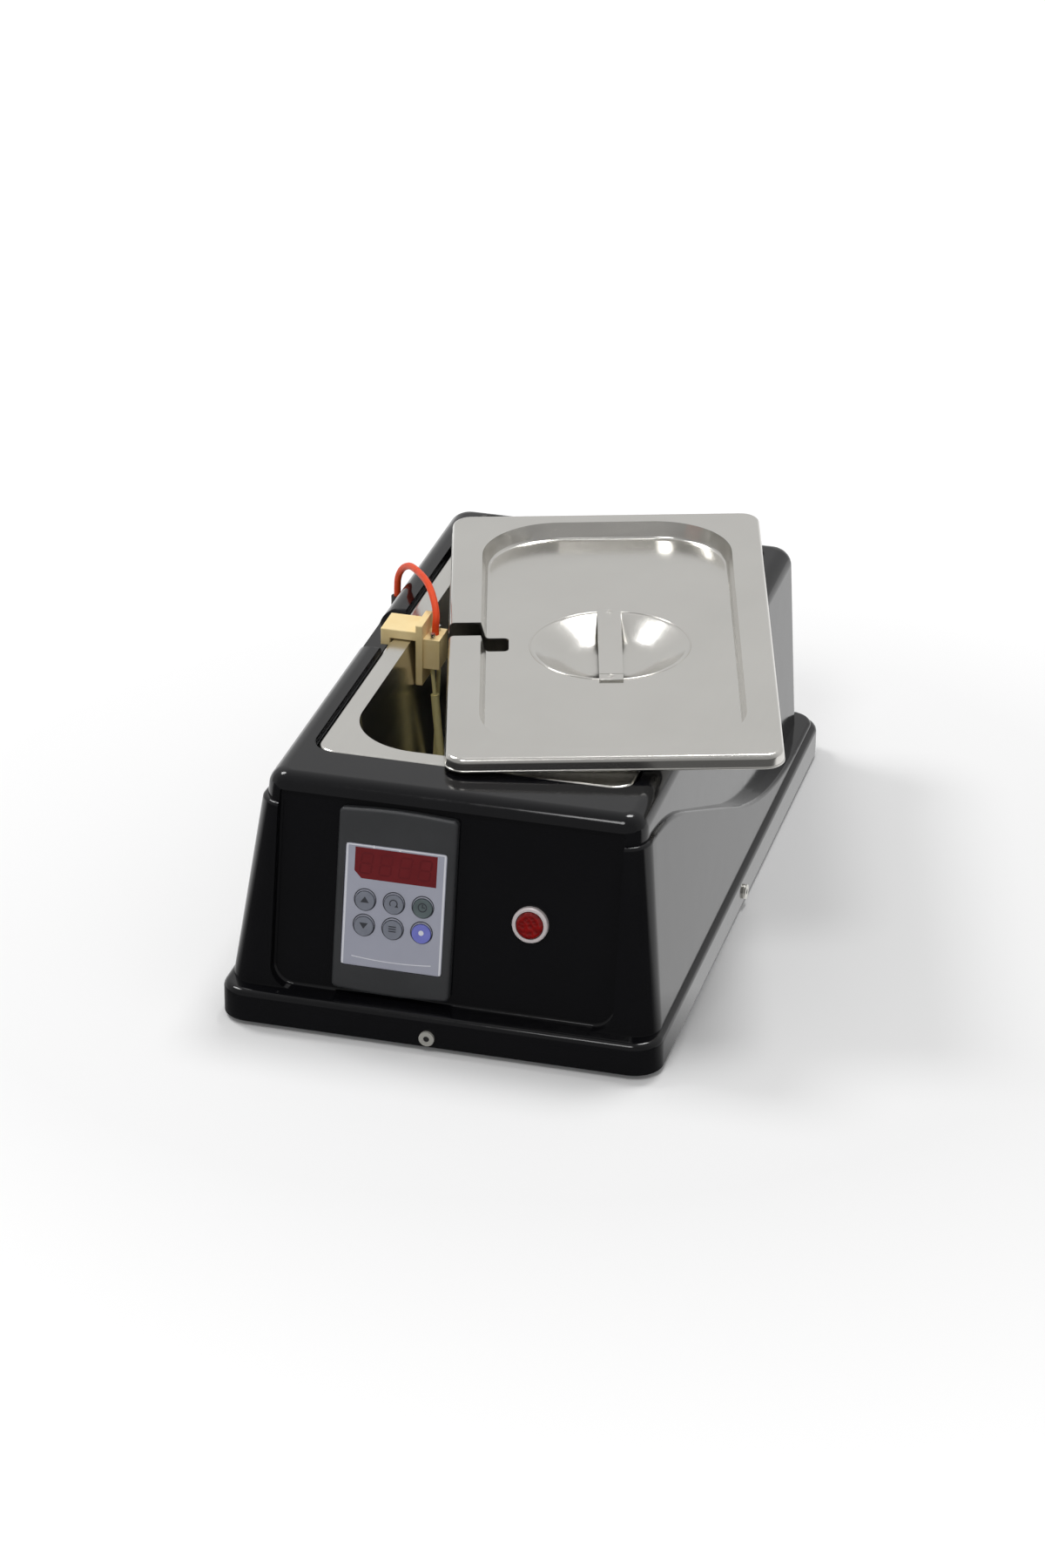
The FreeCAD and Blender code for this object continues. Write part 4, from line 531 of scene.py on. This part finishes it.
def rimTree(sizes):
    tree = bpy.data.node_groups.new("keyRims", "GeometryNodeTree")
    tree.interface.new_socket("Geometry", in_out="INPUT", socket_type="NodeSocketGeometry")
    for label, value in (("Rim radius", sizes["radius"]), ("Wire radius", sizes["wire"]), ("Slope", panelSlope)):
        tree.interface.new_socket(label, in_out="INPUT", socket_type="NodeSocketFloat").default_value = value
    tree.interface.new_socket("Geometry", in_out="OUTPUT", socket_type="NodeSocketGeometry")
    given = addNode(tree, "NodeGroupInput")
    ring = addNode(tree, "GeometryNodeCurvePrimitiveCircle", {"Resolution": sizes["sides"],
                                                              "Radius": given.outputs["Rim radius"]})
    wire = addNode(tree, "GeometryNodeCurvePrimitiveCircle", {"Resolution": sizes["wireSides"],
                                                              "Radius": given.outputs["Wire radius"]})
    loop = addNode(tree, "GeometryNodeCurveToMesh", {"Curve": ring.outputs["Curve"],
                                                     "Profile Curve": wire.outputs["Curve"]})
    lean = addNode(tree, "ShaderNodeMath", {0: math.pi / 2, 1: given.outputs["Slope"]}, operation="SUBTRACT")
    turn = addNode(tree, "ShaderNodeCombineXYZ", {"X": lean.outputs["Value"]})
    rims = addNode(tree, "GeometryNodeInstanceOnPoints", {"Points": given.outputs["Geometry"],
                                                          "Instance": loop.outputs["Mesh"],
                                                          "Rotation": turn.outputs["Vector"]})
    whole = addNode(tree, "GeometryNodeRealizeInstances", {"Geometry": rims.outputs["Instances"]})
    inked = addNode(tree, "GeometryNodeSetMaterial", {"Geometry": whole.outputs["Geometry"],
                                                      "Material": materials["icon_ink"]})
    addNode(tree, "NodeGroupOutput", {"Geometry": inked.outputs["Geometry"]})
    return tree


def growPiece(name, places, tree, body, material):
    mesh = bpy.data.meshes.new(f"{name}Places")
    mesh.from_pydata(places, [], [])
    seed = bpy.data.objects.new(f"{name}Seed", mesh)
    bpy.context.scene.collection.objects.link(seed)
    grown = seed.modifiers.new(name, "NODES")
    grown.node_group = tree
    bpy.context.view_layer.update()
    result = bpy.data.meshes.new_from_object(seed.evaluated_get(bpy.context.evaluated_depsgraph_get()))
    seed.modifiers.remove(grown)
    bpy.data.objects.remove(seed)
    bpy.data.meshes.remove(mesh)
    for face in result.polygons:
        face.use_smooth = True
    return addPiece(name, result, body, material)


rimPlaces = [tuple(facePlane @ Vector((spot.x, spot.y, faceTop))) for spot in keySpots.values()]
growPiece("keyRims", rimPlaces, rimTree(keyRims), "base", materials["icon_ink"])


# Face film: pale border, curved line below the keys, two small lamps over the display, faint unlit digits
faceTrim = {"width": 0.056, "height": 0.068, "inset": 0.0004, "border": 0.0011, "topShare": 0.7, "rise": 0.00012,
            "sink": 0.0002, "lineDrop": -0.0285, "lineBow": 0.0012, "lineShare": 0.8, "lineWide": 0.0005,
            "lineSteps": 20, "lampSpots": [(-0.0125, 0.0331), (0.0020, 0.0331)], "lampRadius": 0.0009,
            "lampFlat": 0.6, "digitPitch": 0.0108, "digitHeight": 0.0112, "digitWidth": 0.0062, "stroke": 0.0010,
            "digitRise": 0.0235, "digitProud": 0.00003, "digitLean": 0.12, "strokeGap": 1.4}


def makeBorder():
    work = bmesh.new()
    x, y = faceTrim["width"] / 2 - faceTrim["inset"], faceTrim["height"] / 2 - faceTrim["inset"]
    b, top = faceTrim["border"], y - faceTrim["border"] * faceTrim["topShare"]
    low, high = faceTop - faceTrim["sink"], faceTop + faceTrim["rise"]
    for corners in ([(-x, -y), (-x + b, -y), (-x + b, y), (-x, y)], [(x - b, -y), (x, -y), (x, y), (x - b, y)],
                    [(-x + b, top), (x - b, top), (x - b, y), (-x + b, y)]):
        flatShape(work, corners, low, high)
    ways = [2 * i / faceTrim["lineSteps"] - 1 for i in range(faceTrim["lineSteps"] + 1)]
    bow = [(x * faceTrim["lineShare"] * way, faceTrim["lineDrop"] - faceTrim["lineBow"] * (1 - way ** 2))
           for way in ways]
    flatShape(work, bow + [(px, py - faceTrim["lineWide"]) for px, py in reversed(bow)], low, high)
    return finishShape(work, "faceBorder", facePlane)


def makeDigits():
    work = bmesh.new()
    h, w, t = faceTrim["digitHeight"] / 2, faceTrim["digitWidth"] / 2, faceTrim["stroke"] / 2
    low, high = faceTop - faceTrim["sink"], faceTop + faceTrim["digitProud"]
    for place in (-1.5, -0.5, 0.5, 1.5):
        cx, cy = place * faceTrim["digitPitch"], faceTrim["digitRise"]
        for dx, dy, half, flat in ((0, h, w, True), (0, 0, w, True), (0, -h, w, True), (-w, h / 2, h / 2, False),
                                   (w, h / 2, h / 2, False), (-w, -h / 2, h / 2, False), (w, -h / 2, h / 2, False)):
            reach = half - t * faceTrim["strokeGap"]
            if flat:
                corners = [(-reach - t, 0), (-reach, -t), (reach, -t), (reach + t, 0), (reach, t), (-reach, t)]
            else:
                corners = [(0, -reach - t), (t, -reach), (t, reach), (0, reach + t), (-t, reach), (-t, -reach)]
            flatShape(work, [(cx + dx + x + (dy + y) * faceTrim["digitLean"], cy + dy + y) for x, y in corners],
                      low, high)
    return finishShape(work, "unlitDigits", facePlane)


def makeLamps():
    work = bmesh.new()
    for x, y in faceTrim["lampSpots"]:
        dome = bmesh.ops.create_uvsphere(work, u_segments=16, v_segments=8, radius=faceTrim["lampRadius"])
        low = Matrix.Translation((x, y, faceTop)) @ Matrix.Diagonal((1, 1, faceTrim["lampFlat"], 1))
        bmesh.ops.transform(work, matrix=low, verts=dome["verts"])
    for face in work.faces:
        face.smooth = True
    return finishShape(work, "faceLamps", facePlane)


addPiece("faceBorder", makeBorder(), "base", materials["pale_ink"])
unlitInk = grainy("unlitSegmentTint", "#5a171c", "#6d1e23", 0.16, 1.0, bump=0.01)
addPiece("unlitDigits", makeDigits(), "base", unlitInk)
addPiece("faceLamps", makeLamps(), "base", materials["pale_ink"])
print("controller dressed")


# Bench, light and camera
studio = {"floorSize": 30.0, "floorColour": "#f3f3f3",
          "lamps": [("left", (-1.2, 0.35, 1.7), (0.0, 0.0, 0.1), 0.6, 12.0),
                    ("overhead", (0.25, 0.75, 2.0), (0.0, 0.0, 0.1), 0.6, 14.0),
                    ("front", (-0.15, -1.25, 1.95), (0.0, -0.1, 0.1), 0.6, 8.0)],
          "worldDiffuse": 0.44, "worldFront": 0.35, "worldBack": 0.68,  # front and back as reflections see them
          "worldSpan": (-0.5, 0.5),
          "whiteNear": 0.03, "whiteFar": 0.55,  # white added for the camera, beside the object and far off
          "whiteSpan": (0.35, 1.3),
          "benchFront": 0.12, "benchBack": 1.0, "benchSpan": (-0.20, -0.10)}  # bench as reflections see it
view = {"place": (0.6114, -2.3100, 1.2712), "look": (-0.231, 0.8614, -0.4523), "up": (-0.1245, 0.4349, 0.8919),
        "lens": 108.73, "sensor": 36.0, "farthest": 60.0}


def makeFloor():
    half = studio["floorSize"] / 2
    mesh = bpy.data.meshes.new("benchTop")
    mesh.from_pydata([(-half, -half, 0), (half, -half, 0), (half, half, 0), (-half, half, 0)], [], [(0, 1, 2, 3)])
    material, tree, shader, where = startMaterial("whiteBench", Roughness=0.9, Specular_IOR_Level=0.0)
    shader.inputs["Base Color"].default_value = linear(studio["floorColour"])
    rays = addNode(tree, "ShaderNodeLightPath")
    reach = addNode(tree, "ShaderNodeVectorMath", {0: where}, operation="LENGTH")
    near, far = studio["whiteSpan"]
    white = addNode(tree, "ShaderNodeMapRange", {"Value": reach.outputs["Value"], "From Min": near, "From Max": far,
                                                 "To Min": studio["whiteNear"], "To Max": studio["whiteFar"]})
    glow = addNode(tree, "ShaderNodeMath", {0: white.outputs["Result"], 1: rays.outputs["Is Camera Ray"]},
                   operation="MULTIPLY")
    shader.inputs["Emission Color"].default_value = (1, 1, 1, 1)
    tree.links.new(glow.outputs["Value"], shader.inputs["Emission Strength"])
    depth = addNode(tree, "ShaderNodeSeparateXYZ", {"Vector": where}).outputs["Y"]
    near, far = studio["benchSpan"]
    shine = addNode(tree, "ShaderNodeMapRange", {"Value": depth, "From Min": near, "From Max": far,
                                                 "To Min": studio["benchFront"], "To Max": studio["benchBack"]})
    mirrored = addNode(tree, "ShaderNodeEmission", {"Strength": shine.outputs["Result"]})
    both = addNode(tree, "ShaderNodeMixShader", {0: rays.outputs["Is Glossy Ray"], 1: shader.outputs["BSDF"],
                                                 2: mirrored.outputs["Emission"]})
    tree.links.new(both.outputs["Shader"], tree.nodes["Material Output"].inputs["Surface"])
    mesh.materials.append(material)
    floor = bpy.data.objects.new("benchTop", mesh)
    bpy.context.scene.collection.objects.link(floor)


def makeLight(name, place, target, size, power):
    lamp = bpy.data.lights.new(name, "AREA")
    lamp.shape = "DISK"
    lamp.size = size
    lamp.energy = power
    thing = bpy.data.objects.new(name, lamp)
    thing.location = place
    thing.rotation_euler = (Vector(target) - Vector(place)).to_track_quat("-Z", "Y").to_euler()
    bpy.context.scene.collection.objects.link(thing)


def makeWorld():
    world = bpy.data.worlds.new("studioWorld")
    bpy.context.scene.world = world
    world.use_nodes = True
    tree = world.node_tree
    back = tree.nodes["Background"]
    back.inputs["Color"].default_value = (1, 1, 1, 1)
    rays = addNode(tree, "ShaderNodeLightPath")
    way = addNode(tree, "ShaderNodeSeparateXYZ", {"Vector": addNode(tree, "ShaderNodeTexCoord").outputs["Generated"]})
    near, far = studio["worldSpan"]
    shine = addNode(tree, "ShaderNodeMapRange", {"Value": way.outputs["Y"], "From Min": near, "From Max": far,
                                                 "To Min": studio["worldFront"], "To Max": studio["worldBack"]})
    mirrored = addNode(tree, "ShaderNodeMath", {0: rays.outputs["Is Glossy Ray"],
                                                1: rays.outputs["Is Transmission Ray"]}, operation="MAXIMUM")
    indirect = addNode(tree, "ShaderNodeMix", {"Factor": mirrored.outputs["Value"], 2: studio["worldDiffuse"],
                                               3: shine.outputs["Result"]})
    level = addNode(tree, "ShaderNodeMix", {"Factor": rays.outputs["Is Camera Ray"], 2: indirect.outputs[0], 3: 1.0})
    tree.links.new(level.outputs[0], back.inputs["Strength"])


def makeCamera():
    camera = bpy.data.cameras.new("photoCamera")
    camera.sensor_width = view["sensor"]
    camera.sensor_fit = "AUTO"
    camera.lens = view["lens"]
    camera.clip_end = view["farthest"]
    look, up = Vector(view["look"]).normalized(), Vector(view["up"]).normalized()
    right = look.cross(up).normalized()
    up = right.cross(look)
    turn = Matrix((right, up, -look)).transposed()
    thing = bpy.data.objects.new("photoCamera", camera)
    thing.matrix_world = Matrix.Translation(view["place"]) @ turn.to_4x4()
    bpy.context.scene.collection.objects.link(thing)
    bpy.context.scene.camera = thing


makeFloor()
for lamp in studio["lamps"]:
    makeLight(*lamp)
makeWorld()
makeCamera()
bpy.context.scene.view_settings.view_transform = "Standard"
print("studio set")
